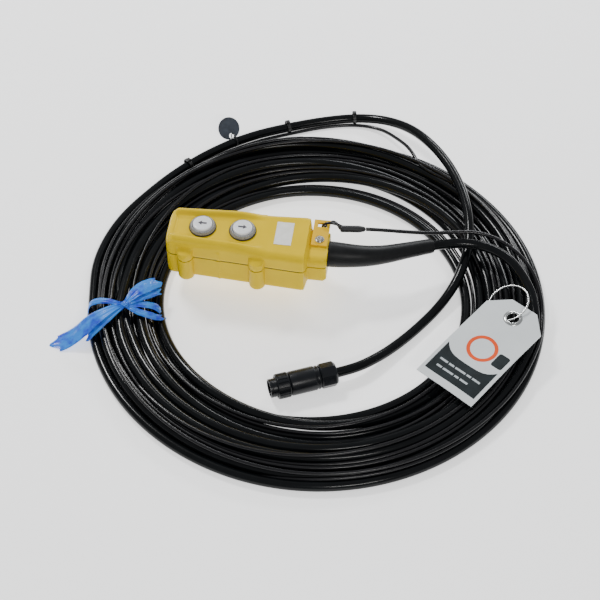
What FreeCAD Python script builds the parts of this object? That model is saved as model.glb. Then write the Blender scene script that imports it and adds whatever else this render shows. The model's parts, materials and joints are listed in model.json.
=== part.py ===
import FreeCAD, Part
import math
import os
import Sketcher
from FreeCAD import Placement, Rotation, Vector

# Two-button pendant control station with its coiled cable, suspension wire, round plug and tags.
# Frame: origin at the centre of the housing's box, +X along the housing towards the cable end,
# +Z out of the button face. Millimetres. The coil lies on a level surface under the housing.

DIMENSIONS = [
    ("housing_length", 160.0, "housing, far end to neck end"),
    ("body_length", 140.0, "wide part of the housing, without the neck"),
    ("foot_half", 22.0, "half width at the button end"),
    ("hip_half", 30.0, "half width beside the neck"),
    ("hip_start", 56.0, "where the sides reach their full width"),
    ("neck_half", 21.5, "half width of the neck"),
    ("face_top", 21.0, "level of the button face"),
    ("guard_top", 25.5, "level of the finger guards"),
    ("guard_width", 6.0, "width of a finger guard"),
    ("guard_end", 20.0, "where the guards have faded out"),
    ("split_top", 2.0, "lower edge of the front cover"),
    ("split_bottom", 1.0, "upper edge of the rear case"),
    ("case_bottom", -27.5, "back face of the rear case"),
    ("neck_top", 13.0, "top of the neck"),
    ("neck_bottom", -20.0, "underside of the neck"),
    ("wall", 2.6, "shell wall"),
    ("corner", 7.0, "corner radius in plan"),
    ("boss_radius", 6.0, "screw boss radius"),
    ("boss_foot_reach", 25.5, "screw bosses at the button end, distance from the middle"),
    ("boss_hip_reach", 29.0, "screw bosses beside the label, distance from the middle"),
    ("boss_foot_x", -60.0, "screw bosses at the button end"),
    ("boss_hip_x", 12.0, "screw bosses beside the label"),
    ("screw_radius", 2.0, "cover screw shank radius"),
    ("button_down_x", -45.5, "centre of the down button"),
    ("button_up_x", -5.5, "centre of the up button"),
    ("cap_radius", 9.8, "button cap radius"),
    ("cap_top", 27.5, "top of a released button"),
    ("bezel_radius", 13.5, "bezel flange radius"),
    ("barrel_radius", 11.8, "bezel barrel radius"),
    ("bezel_bore", 10.3, "bezel bore radius"),
    ("stem_radius", 3.0, "plunger stem radius"),
    ("block_top", 2.0, "top of the switch block"),
    ("block_bottom", -24.9, "underside of the switch block"),
    ("spring_radius", 4.6, "return spring coil radius"),
    ("spring_wire", 0.45, "return spring wire radius"),
    ("cable_radius", 5.0, "cable jacket radius"),
    ("wire_radius", 1.9, "coated suspension wire radius"),
    ("floor_level", -50.0, "surface that the coil lies on"),
    ("coil_x", 71.0, "coil centre"),
    ("coil_y", -20.0, "coil centre"),
    ("coil_outer", 224.0, "coil outer radius"),
    ("coil_inner", 145.0, "coil inner radius"),
    ("coil_height", 20.5, "height of the wound turns"),
    ("plug_length", 67.0, "plug, gland nut to front rim"),
    ("plug_shell_radius", 12.0, "plug body radius"),
    ("coupling_radius", 12.4, "coupling nut radius"),
    ("gland_radius", 12.2, "gland nut radius"),
    ("nose_radius", 9.2, "plug front rim radius"),
    ("tag_length", 126.0, "instruction tag length"),
    ("tag_width", 66.0, "instruction tag width"),
    ("tag_thickness", 0.8, "instruction tag thickness"),
    ("ring_radius", 20.5, "tag ring radius"),
    ("disc_radius", 12.3, "disc tag radius"),
]

# Points of the free runs, where they are not coiled.
CABLE_LEAD = [(80, 0, 0), (104, 0, 0), (130, 8, -4), (158, 23, -8), (187, 38, -12), (214, 46, -14),
              (238, 44, -15), (259, 34, -18), (274, 16, -22), (285, -6, -26), (290, -33, -31)]
CABLE_TAIL = [(-153, -40, -45), (-158, -6, -45), (-154, 30, -45), (-143, 65, -45), (-124, 99, -45),
              (-101, 134, -45), (-69, 170, -45), (-31, 200, -45), (12, 221, -45), (50, 236, -45),
              (85, 244, -44), (116, 238, -38), (145, 218, -28), (171, 188, -22), (192, 157, -21),
              (207, 122, -21), (216, 86, -22), (218, 52, -27), (211, 18, -37), (196, -14, -44),
              (174, -48, -45), (152, -77, -43.5), (134, -97, -40), (118, -110.5, -37.5),
              (102.5, -117.5, -37.5)]
WIRE_LEAD = [(114, 27, 12), (133, 31, 9), (153, 36, 4), (176, 43, -2), (199, 50, -5), (222, 55, -6),
             (245, 52, -9), (266, 41, -14), (283, 22, -19), (293, -3, -25), (296.5, -27, -33)]
WIRE_TAIL = [(-95, 129, -44), (-64, 165, -47), (-27, 194, -48), (15, 214, -48), (50, 228, -48),
             (82, 235, -48), (108, 226, -45), (130, 210, -37), (147, 187, -29), (159, 162, -31)]
FERRULE_START = (89, 22, 14.4)
WIRE_END = [(-46, 171, -45.5), (-36, 179.5, -47.5), (-26, 185, -47.8), (-15.5, 190, -47.8)]

doc = FreeCAD.newDocument("pendant_station")
sheet = doc.addObject("Spreadsheet::Sheet", "dims")
for row, (alias, value, note) in enumerate(DIMENSIONS, start=1):
    sheet.set(f"A{row}", note)
    sheet.set(f"B{row}", str(value))
    sheet.setAlias(f"B{row}", alias)
doc.recompute()

nodes = []


def size(alias):
    return float(getattr(sheet, alias))


def link(text):
    """Turns @alias into a reference to the driving dimensions."""
    return text.replace("@", "dims.")


def keep(piece, label):
    """Marks an object as the sub-part of that name."""
    piece.Label = label
    nodes.append(piece)
    return piece


def plain(kind, name, turn=None, **sizes):
    """A Part primitive with its sizes and its place bound to the sheet."""
    piece = doc.addObject(kind, name)
    if turn:
        piece.Placement = Placement(Vector(), turn)
    places = {"x": "Placement.Base.x", "y": "Placement.Base.y", "z": "Placement.Base.z"}
    for key, text in sizes.items():
        piece.setExpression(places.get(key, key), link(text))
    return piece


def block(name, x, y, z, length, width, height):
    return plain("Part::Box", name, x=x, y=y, z=z, Length=length, Width=width, Height=height)


def rod(name, x, y, z, radius, height, turn=None):
    return plain("Part::Cylinder", name, turn=turn, x=x, y=y, z=z, Radius=radius, Height=height)


def cut(name, base, tools):
    piece = doc.addObject("Part::Cut", name)
    piece.Base = base
    piece.Tool = tools[0] if len(tools) == 1 else fuse(name + "_tools", tools)
    return piece


def fuse(name, pieces):
    piece = doc.addObject("Part::MultiFuse", name)
    piece.Shapes = pieces
    return piece


def group(name, pieces):
    """Separate solids kept together in one sub-part."""
    piece = doc.addObject("Part::Compound", name)
    piece.Links = pieces
    return piece


def made(name, shape, place=None):
    """A shape that only Part's own functions can make."""
    piece = doc.addObject("Part::Feature", name)
    piece.Shape = shape
    if place:
        piece.Placement = place
    return piece


def new_body(name):
    return doc.addObject("PartDesign::Body", name)


def origin_plane(body, role):
    return next(f for f in body.Origin.OriginFeatures if f.Role == role)


def outline(body, name, role, points, lift=None):
    """A closed sketch whose corners are bound to the sheet."""
    sketch = body.newObject("Sketcher::SketchObject", name)
    sketch.AttachmentSupport = [(origin_plane(body, role), "")]
    sketch.MapMode = "FlatFace"
    if lift:
        sketch.setExpression("AttachmentOffset.Base.z", link(lift))
    corners = [tuple(float(sketch.evalExpression(link(t))) for t in pair) for pair in points]
    count = len(corners)
    for i, (u, v) in enumerate(corners):
        following = corners[(i + 1) % count]
        sketch.addGeometry(Part.LineSegment(Vector(u, v, 0), Vector(*following, 0)), False)
    for i in range(count):
        sketch.addConstraint(Sketcher.Constraint("Coincident", i, 2, (i + 1) % count, 1))
    for i, pair in enumerate(points):
        for kind, text, number in zip(("DistanceX", "DistanceY"), pair, corners[i]):
            index = sketch.addConstraint(Sketcher.Constraint(kind, -1, 1, i, 1, number))
            sketch.setExpression(f"Constraints[{index}]", link(text))
    return sketch


def feature(body, kind, name, sketch, **settings):
    """A PartDesign feature, made from a sketch, with its lengths bound to the sheet."""
    step = body.newObject(kind, name)
    step.Profile = sketch
    for key, value in settings.items():
        if isinstance(value, str) and key in ("Length", "Angle"):
            step.setExpression(key, link(value))
        else:
            setattr(step, key, value)
    sketch.Visibility = False
    doc.recompute()
    return step


def round_edges(body, name, radius, wanted):
    """Rounds the edges of the body's last feature that the test picks."""
    base = body.Tip
    edges = [f"Edge{i}" for i, e in enumerate(base.Shape.Edges, start=1) if wanted(e)]
    step = body.newObject("PartDesign::Fillet", name)
    step.Base = (base, edges)
    step.setExpression("Radius", link(radius))
    doc.recompute()
    return step


def turned(name, profile, place=None):
    """A lathe-turned piece about its own Z axis. The profile holds (radius, height) pairs."""
    body = new_body(name)
    sketch = outline(body, name + "_profile", "XZ_Plane", profile)
    step = body.newObject("PartDesign::Revolution", name + "_turn")
    step.Profile = sketch
    step.ReferenceAxis = (sketch, ["V_Axis"])
    step.Angle = 360
    doc.recompute()
    if place:
        body.Placement = place
    return body


def upright(edge):
    """True for a straight edge along Z."""
    if len(edge.Vertexes) != 2 or not isinstance(edge.Curve, (Part.Line, Part.LineSegment)):
        return False
    step = edge.Vertexes[1].Point - edge.Vertexes[0].Point
    return abs(step.x) < 1e-6 and abs(step.y) < 1e-6


# ---------------------------------------------------------------- free runs

def rounded_path(points):
    """Straight runs joined by tangent arcs, each as large as its two runs allow."""
    spots = [Vector(*p) for p in points]
    edges, radii = [], []
    here = spots[0]
    for before, corner, after in zip(spots, spots[1:], spots[2:]):
        way_in, way_out = (corner - before), (after - corner)
        short = 0.45 * min(way_in.Length, way_out.Length)
        way_in.normalize()
        way_out.normalize()
        half_turn = way_in.getAngle(way_out) / 2
        radii.append(short / math.tan(half_turn))
        start, end = corner - way_in * short, corner + way_out * short
        inward = way_out - way_in
        inward.normalize()
        middle_gap = radii[-1] * (1 / math.cos(half_turn) - 1)
        middle = corner + inward * middle_gap
        edges.append(Part.LineSegment(here, start).toShape())
        edges.append(Part.Arc(start, middle, end).toShape())
        here = end
    edges.append(Part.LineSegment(here, spots[-1]).toShape())
    return Part.Wire(edges), radii


def tube(name, points, radius):
    """A round tube along a rounded path, with its radii and its volume checked."""
    path, radii = rounded_path(points)
    start = Vector(*points[0])
    heading = Vector(*points[1]) - start
    ring = Part.Wire(Part.makeCircle(radius, start, heading))
    solid = path.makePipeShell([ring], True, False)
    expected = math.pi * radius ** 2 * path.Length
    print(f"{name}: {path.Length:.0f} mm, smallest radius {min(radii):.0f} mm,",
          f"volume ratio {solid.Volume / expected:.3f}")
    return solid


# ---------------------------------------------------------------- housing shells

def side(x_left, x_right, half_left, half_right, shrink="0"):
    """Plan outline of the housing body: (x, y) pairs, widening towards the neck."""
    left, right = f"{x_left} + {shrink}", f"{x_right} - {shrink}"
    foot, hip = f"{half_left} - {shrink}", f"{half_right} - {shrink}"
    return [(left, f"-({foot})"), ("@hip_start", f"-({hip})"), (right, f"-({hip})"),
            (right, hip), ("@hip_start", hip), (left, foot)]


def neck_plan(shrink="0"):
    """Plan outline of the neck, starting inside the housing body."""
    inner = "-@housing_length/2 + @body_length - 5"
    outer = f"@housing_length/2 - {shrink}"
    half = f"@neck_half - {shrink}"
    return [(inner, f"-({half})"), (outer, f"-({half})"), (outer, half), (inner, half)]


BODY_LEFT = "-@housing_length/2"
BODY_RIGHT = "-@housing_length/2 + @body_length"


def shell_body(name, low, high, neck_low, neck_high, open_side):
    """Outer form of one shell, body and neck, hollowed from its open side."""
    body = new_body(name)
    plan = side(BODY_LEFT, BODY_RIGHT, "@foot_half", "@hip_half")
    feature(body, "PartDesign::Pad", name + "_form",
            outline(body, name + "_plan", "XY_Plane", plan, lift=low), Length=f"{high} - ({low})")
    round_edges(body, name + "_corners", "@corner", upright)
    feature(body, "PartDesign::Pad", name + "_neck",
            outline(body, name + "_neck_plan", "XY_Plane", neck_plan(), lift=neck_low),
            Length=f"{neck_high} - ({neck_low})")
    cavity = side(BODY_LEFT, BODY_RIGHT, "@foot_half", "@hip_half", shrink="@wall")
    depth = f"{high} - ({low}) - @wall"
    rim = low if open_side == "below" else high
    feature(body, "PartDesign::Pocket", name + "_hollow",
            outline(body, name + "_cavity", "XY_Plane", cavity, lift=rim),
            Length=depth, Reversed=(open_side == "below"))
    return body


def make_front_cover():
    body = shell_body("front_shell", "@split_top", "@face_top", "@split_top", "@neck_top", "below")
    guard_profile = [("-@housing_length/2 + 2", "@face_top - 1"),
                     ("-@housing_length/2 + 5", "@guard_top"),
                     ("@guard_end - 25", "@guard_top"),
                     ("@guard_end", "@face_top - 1")]
    feature(body, "PartDesign::Pad", "guards",
            outline(body, "guard_profile", "XZ_Plane", guard_profile),
            Length="2*@foot_half - 1", Midplane=True)
    lane = "@foot_half - @guard_width - 0.5"
    channel = [("-@housing_length/2 + 9", f"-({lane})"), ("@guard_end + 5", f"-({lane})"),
               ("@guard_end + 5", lane), ("-@housing_length/2 + 9", lane)]
    feature(body, "PartDesign::Pocket", "button_lane",
            outline(body, "lane_plan", "XY_Plane", channel, lift="@guard_top + 1"),
            Length="@guard_top + 1 - @face_top")
    return body


def boss_points():
    return [(f"@boss_{end}_x", f"{sign}@boss_{end}_reach") for end in ("foot", "hip")
            for sign in ("", "-")]


def bosses(name, low, high, radius):
    """Four screw bosses, or the holes in them."""
    return [rod(f"{name}_{i}", x, y, low, radius, f"{high} - ({low})")
            for i, (x, y) in enumerate(boss_points())]


def front_cover():
    shell = make_front_cover()
    shell_with_bosses = fuse("front_with_bosses",
                             [shell] + bosses("front_boss", "@split_top", "@split_top + 11",
                                              "@boss_radius"))
    holes = bosses("front_hole", "@split_top - 1", "@split_top + 9", "@screw_radius")
    for label, x in (("down", "@button_down_x"), ("up", "@button_up_x")):
        holes.append(rod(f"{label}_opening", x, "0", "@face_top - 6", "@barrel_radius", "12"))
    holes.append(rod("neck_bore_front", "@housing_length/2 - 26", "0", "0", "9.5", "30",
                     turn=Rotation(Vector(0, 1, 0), 90)))
    holes.append(rod("anchor_screw_hole", "70.5", "4", "@neck_top - 3.5", "1.9", "5"))
    keep(cut("front_cover", shell_with_bosses, holes), "front_cover")


def rear_case():
    shell = shell_body("rear_shell", "@case_bottom", "@split_bottom", "@neck_bottom",
                       "@split_bottom", "above")
    with_bosses = fuse("rear_with_bosses",
                       [shell] + bosses("rear_boss", "@case_bottom", "@split_bottom", "@boss_radius"))
    holes = bosses("rear_hole", "@case_bottom - 1", "@split_bottom + 1", "@screw_radius + 0.2")
    holes += bosses("rear_sink", "@case_bottom - 1", "@case_bottom + 3.2", "4.0")
    holes.append(rod("neck_bore_rear", "@housing_length/2 - 26", "0", "0", "9.5", "30",
                     turn=Rotation(Vector(0, 1, 0), 90)))
    keep(cut("rear_case", with_bosses, holes), "rear_case")


def case_gasket():
    """Flat rubber gasket between the shells, around the cavity."""
    body = new_body("gasket_frame")
    plan = side(BODY_LEFT, BODY_RIGHT, "@foot_half", "@hip_half", shrink="0.4")
    feature(body, "PartDesign::Pad", "gasket_form",
            outline(body, "gasket_plan", "XY_Plane", plan, lift="@split_bottom"),
            Length="@split_top - @split_bottom")
    inner = side(BODY_LEFT, BODY_RIGHT, "@foot_half", "@hip_half", shrink="@wall")
    feature(body, "PartDesign::Pocket", "gasket_opening",
            outline(body, "gasket_inside", "XY_Plane", inner, lift="@split_top"),
            Length="@split_top - @split_bottom")
    round_edges(body, "gasket_corners", "@corner", lambda e: upright(e) and
                abs(e.Vertexes[0].Y) > size("foot_half") - 1 and e.Vertexes[0].X < 0 or
                upright(e) and abs(e.Vertexes[0].Y) > size("hip_half") - 1 and e.Vertexes[0].X > 40)
    passage = rod("gasket_passage", "@housing_length/2 - 26", "0", "0", "9.5", "30",
                  turn=Rotation(Vector(0, 1, 0), 90))
    keep(cut("case_gasket", body, [passage]), "case_gasket")


def cover_screws():
    """Four pan-head screws that enter from the back of the case."""
    screws = []
    for i, (x, y) in enumerate(boss_points()):
        shank = rod(f"screw_shank_{i}", x, y, "@case_bottom + 3.2", "@screw_radius - 0.1",
                    "@split_top + 8 - @case_bottom - 3.2")
        head = rod(f"screw_head_{i}", x, y, "@case_bottom + 0.6", "3.6", "2.6")
        slot = block(f"screw_slot_{i}", f"{x} - 3", f"{y} - 0.4", "@case_bottom - 0.4", "6", "0.8", "2")
        screws.append(cut(f"cover_screw_{i}", fuse(f"screw_form_{i}", [shank, head]), [slot]))
    keep(group("cover_screws", screws), "cover_screws")


# ---------------------------------------------------------------- push buttons

def button(label, x):
    """One push button: cap, bezel, nut, boot, plunger, spring, bridge and fixed contacts."""
    def at(height):
        place = Placement(Vector(size(f"button_{label}_x"), 0, 0), Rotation())
        place.Base.z = height
        return place

    keep(turned(f"{label}_cap_form", [
        ("0", "@cap_top - 6.5"), ("@cap_radius", "@cap_top - 6.5"), ("@cap_radius", "@cap_top - 0.9"),
        ("@cap_radius - 0.9", "@cap_top"), ("0", "@cap_top")], at(0)), f"{label}_button_cap")
    keep(turned(f"{label}_bezel_form", [
        ("@bezel_bore", "@face_top - 7"), ("@barrel_radius - 0.05", "@face_top - 7"),
        ("@barrel_radius - 0.05", "@face_top"), ("@bezel_radius", "@face_top"),
        ("@bezel_radius", "@face_top + 2.4"), ("@bezel_radius - 2.2", "@face_top + 4.6"),
        ("@bezel_bore", "@face_top + 4.6")], at(0)), f"{label}_bezel_ring")
    inside = "@face_top - @wall"
    keep(turned(f"{label}_nut_form", [
        ("@barrel_radius", f"{inside} - 4"), ("@barrel_radius + 2.6", f"{inside} - 4"),
        ("@barrel_radius + 2.6", inside), ("@barrel_radius", inside)], at(0)),
        f"{label}_bezel_nut")
    keep(turned(f"{label}_boot_form", [
        ("@stem_radius + 0.4", "@face_top - 7"), ("@bezel_bore - 0.1", "@face_top - 7"),
        ("@bezel_bore - 0.1", "@face_top - 5.8"), ("7.4", "@face_top - 5.8"),
        ("5.6", "@cap_top - 8.2"), ("7.0", "@cap_top - 6.5"),
        ("@stem_radius + 0.4", "@cap_top - 6.5")], at(0)), f"{label}_boot")
    keep(turned(f"{label}_plunger_form", [
        ("0", "-9"), ("@stem_radius - 1", "-9"), ("@stem_radius - 1", "@block_top + 8.5"),
        ("5.8", "@block_top + 8.5"), ("5.8", "@block_top + 10.5"),
        ("@stem_radius", "@block_top + 10.5"), ("@stem_radius", "@cap_top - 6.5"),
        ("0", "@cap_top - 6.5")], at(0)), f"{label}_plunger")
    keep(made(f"{label}_spring_form", spring_shape(), at(size("block_top") + SPRING_LIFT)),
         f"{label}_return_spring")
    arm = block(f"{label}_arm", f"{x} - 9", "-2.5", "-8", "18", "5", "1")
    eye = rod(f"{label}_arm_hole", x, "0", "-9", "@stem_radius - 1", "3")
    tips = [rod(f"{label}_tip_{i}", f"{x} {sign} 7", "0", "-8.8", "1.6", "0.8")
            for i, sign in enumerate("+-")]
    keep(cut(f"{label}_bridge", fuse(f"{label}_bridge_form", [arm] + tips), [eye]),
         f"{label}_contact_bridge")
    fixed = []
    for i, sign in enumerate("+-"):
        outer = f"{x} + 5" if sign == "+" else f"{x} - 17"
        strip = block(f"{label}_strip_{i}", outer, "-3", "-15", "12", "6", "1.2")
        rivet = rod(f"{label}_rivet_{i}", f"{x} {sign} 7", "0", "-13.8", "1.6", "0.8")
        hole_x = f"{x} {sign} 14"
        hole = rod(f"{label}_strip_hole_{i}", hole_x, "0", "-16", "1.6", "4")
        fixed.append(cut(f"{label}_fixed_{i}", fuse(f"{label}_fixed_form_{i}", [strip, rivet]), [hole]))
    keep(group(f"{label}_contacts", fixed), f"{label}_fixed_contacts")


SPRING_LIFT = 0.7   # from the block's top to the centre of the first turn


def spring_shape():
    """Compression spring from the block's top to the plunger's collar."""
    radius, turns, points_per_turn = size("spring_radius"), 4.5, 14
    height, steps = 8.5 - 2 * SPRING_LIFT, int(turns * points_per_turn)
    points = []
    for i in range(steps + 1):
        angle = 2 * math.pi * i / points_per_turn
        points.append((radius * math.cos(angle), radius * math.sin(angle), height * i / steps))
    return tube("return_spring", points, size("spring_wire"))


def switch_block():
    """Moulded base that guides both plungers and carries the fixed contacts."""
    form = block("block_form", "-66", "-14", "@block_bottom", "81", "28", "@block_top - @block_bottom")
    tools = []
    for label in ("down", "up"):
        x = f"@button_{label}_x"
        tools.append(block(f"{label}_chamber", f"{x} - 18.5", "-7", "-15", "37", "14", "10"))
        tools.append(block(f"{label}_service", f"{x} - 18.5", "-15", "-15", "8", "9", "10"))
        tools.append(block(f"{label}_service_b", f"{x} + 10.5", "-15", "-15", "8", "9", "10"))
        tools.append(rod(f"{label}_guide", x, "0", "-10", "@stem_radius - 0.95", "20"))
    keep(cut("switch_block", form, tools), "switch_block")


def terminal_screws():
    """One binding screw at each fixed contact."""
    screws = []
    for label in ("down", "up"):
        for i, sign in enumerate("+-"):
            x = f"@button_{label}_x {sign} 14"
            head = rod(f"{label}_terminal_head_{i}", x, "0", "-13.8", "2.8", "1.8")
            shank = rod(f"{label}_terminal_shank_{i}", x, "0", "-15", "1.55", "2")
            slot = block(f"{label}_terminal_slot_{i}", f"{x} - 2.2", "-0.3", "-12.8", "4.4", "0.6", "2")
            screws.append(cut(f"{label}_terminal_{i}",
                              fuse(f"{label}_terminal_form_{i}", [head, shank]), [slot]))
    keep(group("terminal_screws", screws), "terminal_screws")


# ---------------------------------------------------------------- neck and cable entry

def wire_anchor():
    """Plate screwed on the neck, with the slot that the suspension wire's loop goes through."""
    plate = block("anchor_plate", "62.5", "-3.5", "@neck_top", "16", "34", "2.4")
    slot = block("anchor_slot", "66.5", "21", "@neck_top - 1", "9", "5.5", "5")
    hole = rod("anchor_hole", "70.5", "4", "@neck_top - 1", "1.9", "5")
    keep(cut("wire_anchor", plate, [slot, hole]), "wire_anchor")
    place = Placement(Vector(70.5, 4, 0), Rotation())
    keep(turned("anchor_washer_form", [
        ("1.9", "@neck_top + 2.4"), ("4.6", "@neck_top + 2.4"), ("4.6", "@neck_top + 3.1"),
        ("1.9", "@neck_top + 3.1")], place), "anchor_washer")
    head = turned("anchor_head", [
        ("0", "@neck_top - 3"), ("1.85", "@neck_top - 3"), ("1.85", "@neck_top + 3.1"),
        ("3.6", "@neck_top + 3.1"), ("3.6", "@neck_top + 4.4"), ("2.4", "@neck_top + 5.3"),
        ("0", "@neck_top + 5.3")], place)
    cross = [block("anchor_cross_a", "68.5", "3.6", "@neck_top + 4", "4", "0.8", "2"),
             block("anchor_cross_b", "70.1", "2", "@neck_top + 4", "0.8", "4", "2")]
    keep(cut("anchor_screw", head, cross), "anchor_screw")


def wire_loop():
    """Teardrop end of the suspension wire, through the anchor's slot, and its ferrule."""
    radius = size("wire_radius") - 0.5
    points = [(91, 24, 15.4), (85, 24.8, 17.6), (79, 24.4, 19), (74, 23.8, 18), (71, 23.8, 14.2),
              (71.4, 24.6, 10.6), (73.5, 28, 9.2), (76.5, 32, 10), (80.5, 33.6, 11.6),
              (85, 30, 12.6), (88, 24.6, 12.6), (91, 21.2, 13.2)]
    keep(made("wire_loop", tube("wire_loop", points, radius)), "wire_loop")
    axis = Vector(*WIRE_LEAD[0]) - Vector(*FERRULE_START)
    barrel = Part.makeCylinder(3.5, axis.Length, Vector(*FERRULE_START), axis)
    keep(made("wire_ferrule", barrel), "wire_ferrule")


def cable_entry():
    """Rubber bush in the neck, cable end inside the case, its clip and the thick tapered sleeve."""
    along_x = Rotation(Vector(0, 1, 0), 90)
    keep(turned("bush_form", [
        ("@cable_radius", "@housing_length/2 - 25"), ("9.4", "@housing_length/2 - 25"),
        ("9.4", "@housing_length/2"), ("@cable_radius", "@housing_length/2")],
        Placement(Vector(), along_x)), "cable_bush")
    keep(rod("inner_cable", "40", "0", "0", "@cable_radius", "@housing_length/2 - 40", turn=along_x),
         "inner_cable")
    saddle = block("clip_form", "44", "-12", "-8", "8", "24", "14.5")
    clip_tools = [rod("clip_bore", "43", "0", "0", "@cable_radius", "10", turn=along_x),
                  block("clip_under", "43", "-13", "-9", "10", "26", "9")]
    rest = block("rest_form", "44", "-12", "@case_bottom + @wall", "8", "24", "-@case_bottom - @wall")
    rest_tools = [rod("rest_bore", "43", "0", "0", "@cable_radius", "10", turn=along_x)]
    screws = []
    for i, sign in enumerate("+-"):
        y = f"{sign}9"
        clip_tools.append(rod(f"clip_hole_{i}", "48", y, "-1", "1.3", "9"))
        rest_tools.append(rod(f"rest_hole_{i}", "48", y, "-8", "1.2", "9"))
        screws.append(fuse(f"clip_screw_{i}", [
            rod(f"clip_screw_head_{i}", "48", y, "6.5", "2.6", "1.8"),
            rod(f"clip_screw_shank_{i}", "48", y, "-8", "1.2", "15")]))
    keep(cut("cable_clip", saddle, clip_tools), "cable_clip")
    keep(group("clip_screws", screws), "clip_screws")
    keep(cut("clip_rest", rest, rest_tools), "clip_rest")


def conductors():
    """Insulated cores from the cable end to the four terminals."""
    runs = [((2.2, 1.6), (-15.6, -9.0), 8.5), ((-2.2, 1.6), (-18.0, -8.6), -19.5),
            ((2.2, -1.8), (-18.2, -12.6), -31.5), ((-2.2, -1.8), (-15.8, -16.4), -59.5)]
    cores = []
    for i, ((y, z), (lane, level), terminal) in enumerate(runs):
        points = [(40, y, z), (34.5, y, z), (28, y - 3.5 - i, (z + level) / 2),
                  (22, lane + 0.4, level), (terminal + 11, lane, level),
                  (terminal + 3, lane, (level - 11.5) / 2), (terminal, -10, -12),
                  (terminal, -3.6, -12.4)]
        cores.append(made(f"core_{i}", tube(f"core_{i}", points, 1.0)))
    keep(group("conductors", cores), "conductors")


def label_plate():
    keep(block("label_plate", "27", "-13", "@face_top", "17", "30", "0.3"), "label_plate")


# ---------------------------------------------------------------- sleeve, cable, wire

def sleeve():
    """Thick rubber sleeve that tapers from the neck along the first runs of the cable."""
    path, _ = rounded_path(CABLE_LEAD[:6])
    length = 109.0
    stations = [(0.0, 12.7), (0.12, 12.5), (0.3, 11.0), (0.5, 9.4), (0.75, 8.2), (1.0, 7.4)]
    rings = []
    wire_edges = Part.Wire(path.Edges)
    points = wire_edges.discretize(Distance=1.0)
    for part, radius in stations:
        i = min(int(part * length), len(points) - 2)
        rings.append(Part.Wire(Part.makeCircle(radius, points[i], points[i + 1] - points[i])))
    return Part.makeLoft(rings, True, False)


def cable():
    radius, wire = size("cable_radius"), size("wire_radius")
    lead = tube("cord_lead", CABLE_LEAD, radius)
    keep(made("cable_sleeve", sleeve().cut(lead)), "cable_sleeve")
    keep(made("cord_lead", lead), "cord_lead")
    keep(made("cord_tail", tube("cord_tail", CABLE_TAIL, radius)), "cord_tail")
    keep(made("wire_lead", tube("wire_lead", WIRE_LEAD, wire)), "wire_lead")
    keep(made("wire_tail", tube("wire_tail", WIRE_TAIL, wire)), "wire_tail")
    keep(made("wire_end", tube("wire_end", WIRE_END, wire)), "wire_end")
    soft = "5"
    top = "@floor_level + @coil_height"
    keep(turned("coil_form", [
        ("@coil_inner + 5", "@floor_level"), (f"@coil_outer - {soft}", "@floor_level"),
        ("@coil_outer", f"@floor_level + {soft}"), ("@coil_outer", f"{top} - {soft}"),
        (f"@coil_outer - {soft}", top), (f"@coil_inner + {soft}", top),
        ("@coil_inner", f"{top} - {soft}"), ("@coil_inner", f"@floor_level + {soft}")],
        Placement(Vector(size("coil_x"), size("coil_y"), 0), Rotation())), "cord_coil")


def wire_eye():
    """Steel end ring of the suspension wire and the ferrule that holds it."""
    turn = Rotation(Vector(0, 0, 1), 13.5)
    half_length, half_width, thick = 8.0, 4.8, 1.2
    straight_a = Part.LineSegment(Vector(-half_length, -half_width, 0), Vector(half_length, -half_width, 0))
    bow_a = Part.Arc(Vector(half_length, -half_width, 0), Vector(half_length + half_width, 0, 0),
                     Vector(half_length, half_width, 0))
    straight_b = Part.LineSegment(Vector(half_length, half_width, 0), Vector(-half_length, half_width, 0))
    bow_b = Part.Arc(Vector(-half_length, half_width, 0), Vector(-half_length - half_width, 0, 0),
                     Vector(-half_length, -half_width, 0))
    path = Part.Wire([c.toShape() for c in (straight_a, bow_a, straight_b, bow_b)])
    ring = Part.Wire(Part.makeCircle(thick, Vector(-half_length, -half_width, 0), Vector(1, 0, 0)))
    eye_centre = Vector(18, 202.8, -48.4)
    keep(made("wire_eye", path.makePipeShell([ring], True, False), Placement(eye_centre, turn)),
         "wire_eye")
    start = Vector(*WIRE_END[-1])
    eye_end = eye_centre - turn.multVec(Vector(half_length + half_width, 0, -0.6))
    barrel = Part.makeCylinder(2.2, (eye_end - start).Length - 1, start, eye_end - start)
    keep(made("end_ferrule", barrel), "end_ferrule")


# ---------------------------------------------------------------- plug

def plug_place():
    """Plug axis: level, pointing away from the cable, at the end of the tail."""
    rear, before = Vector(*CABLE_TAIL[-1]), Vector(*CABLE_TAIL[-2])
    heading = Vector(rear.x - before.x, rear.y - before.y, 0)
    return Placement(rear, Rotation(Vector(0, 0, 1), heading))


def fluted(name, form, place, count, radius, depth, low, high):
    """Cuts grip flutes along a turned piece."""
    cutters = []
    for i in range(count):
        angle = 2 * math.pi * i / count
        centre = Vector((radius + depth) * math.cos(angle), (radius + depth) * math.sin(angle), low)
        cutters.append(Part.makeCylinder(2 * depth, high - low, centre))
    tool = made(name + "_flutes", Part.makeCompound(cutters), place)
    return cut(name, form, [tool])


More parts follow.
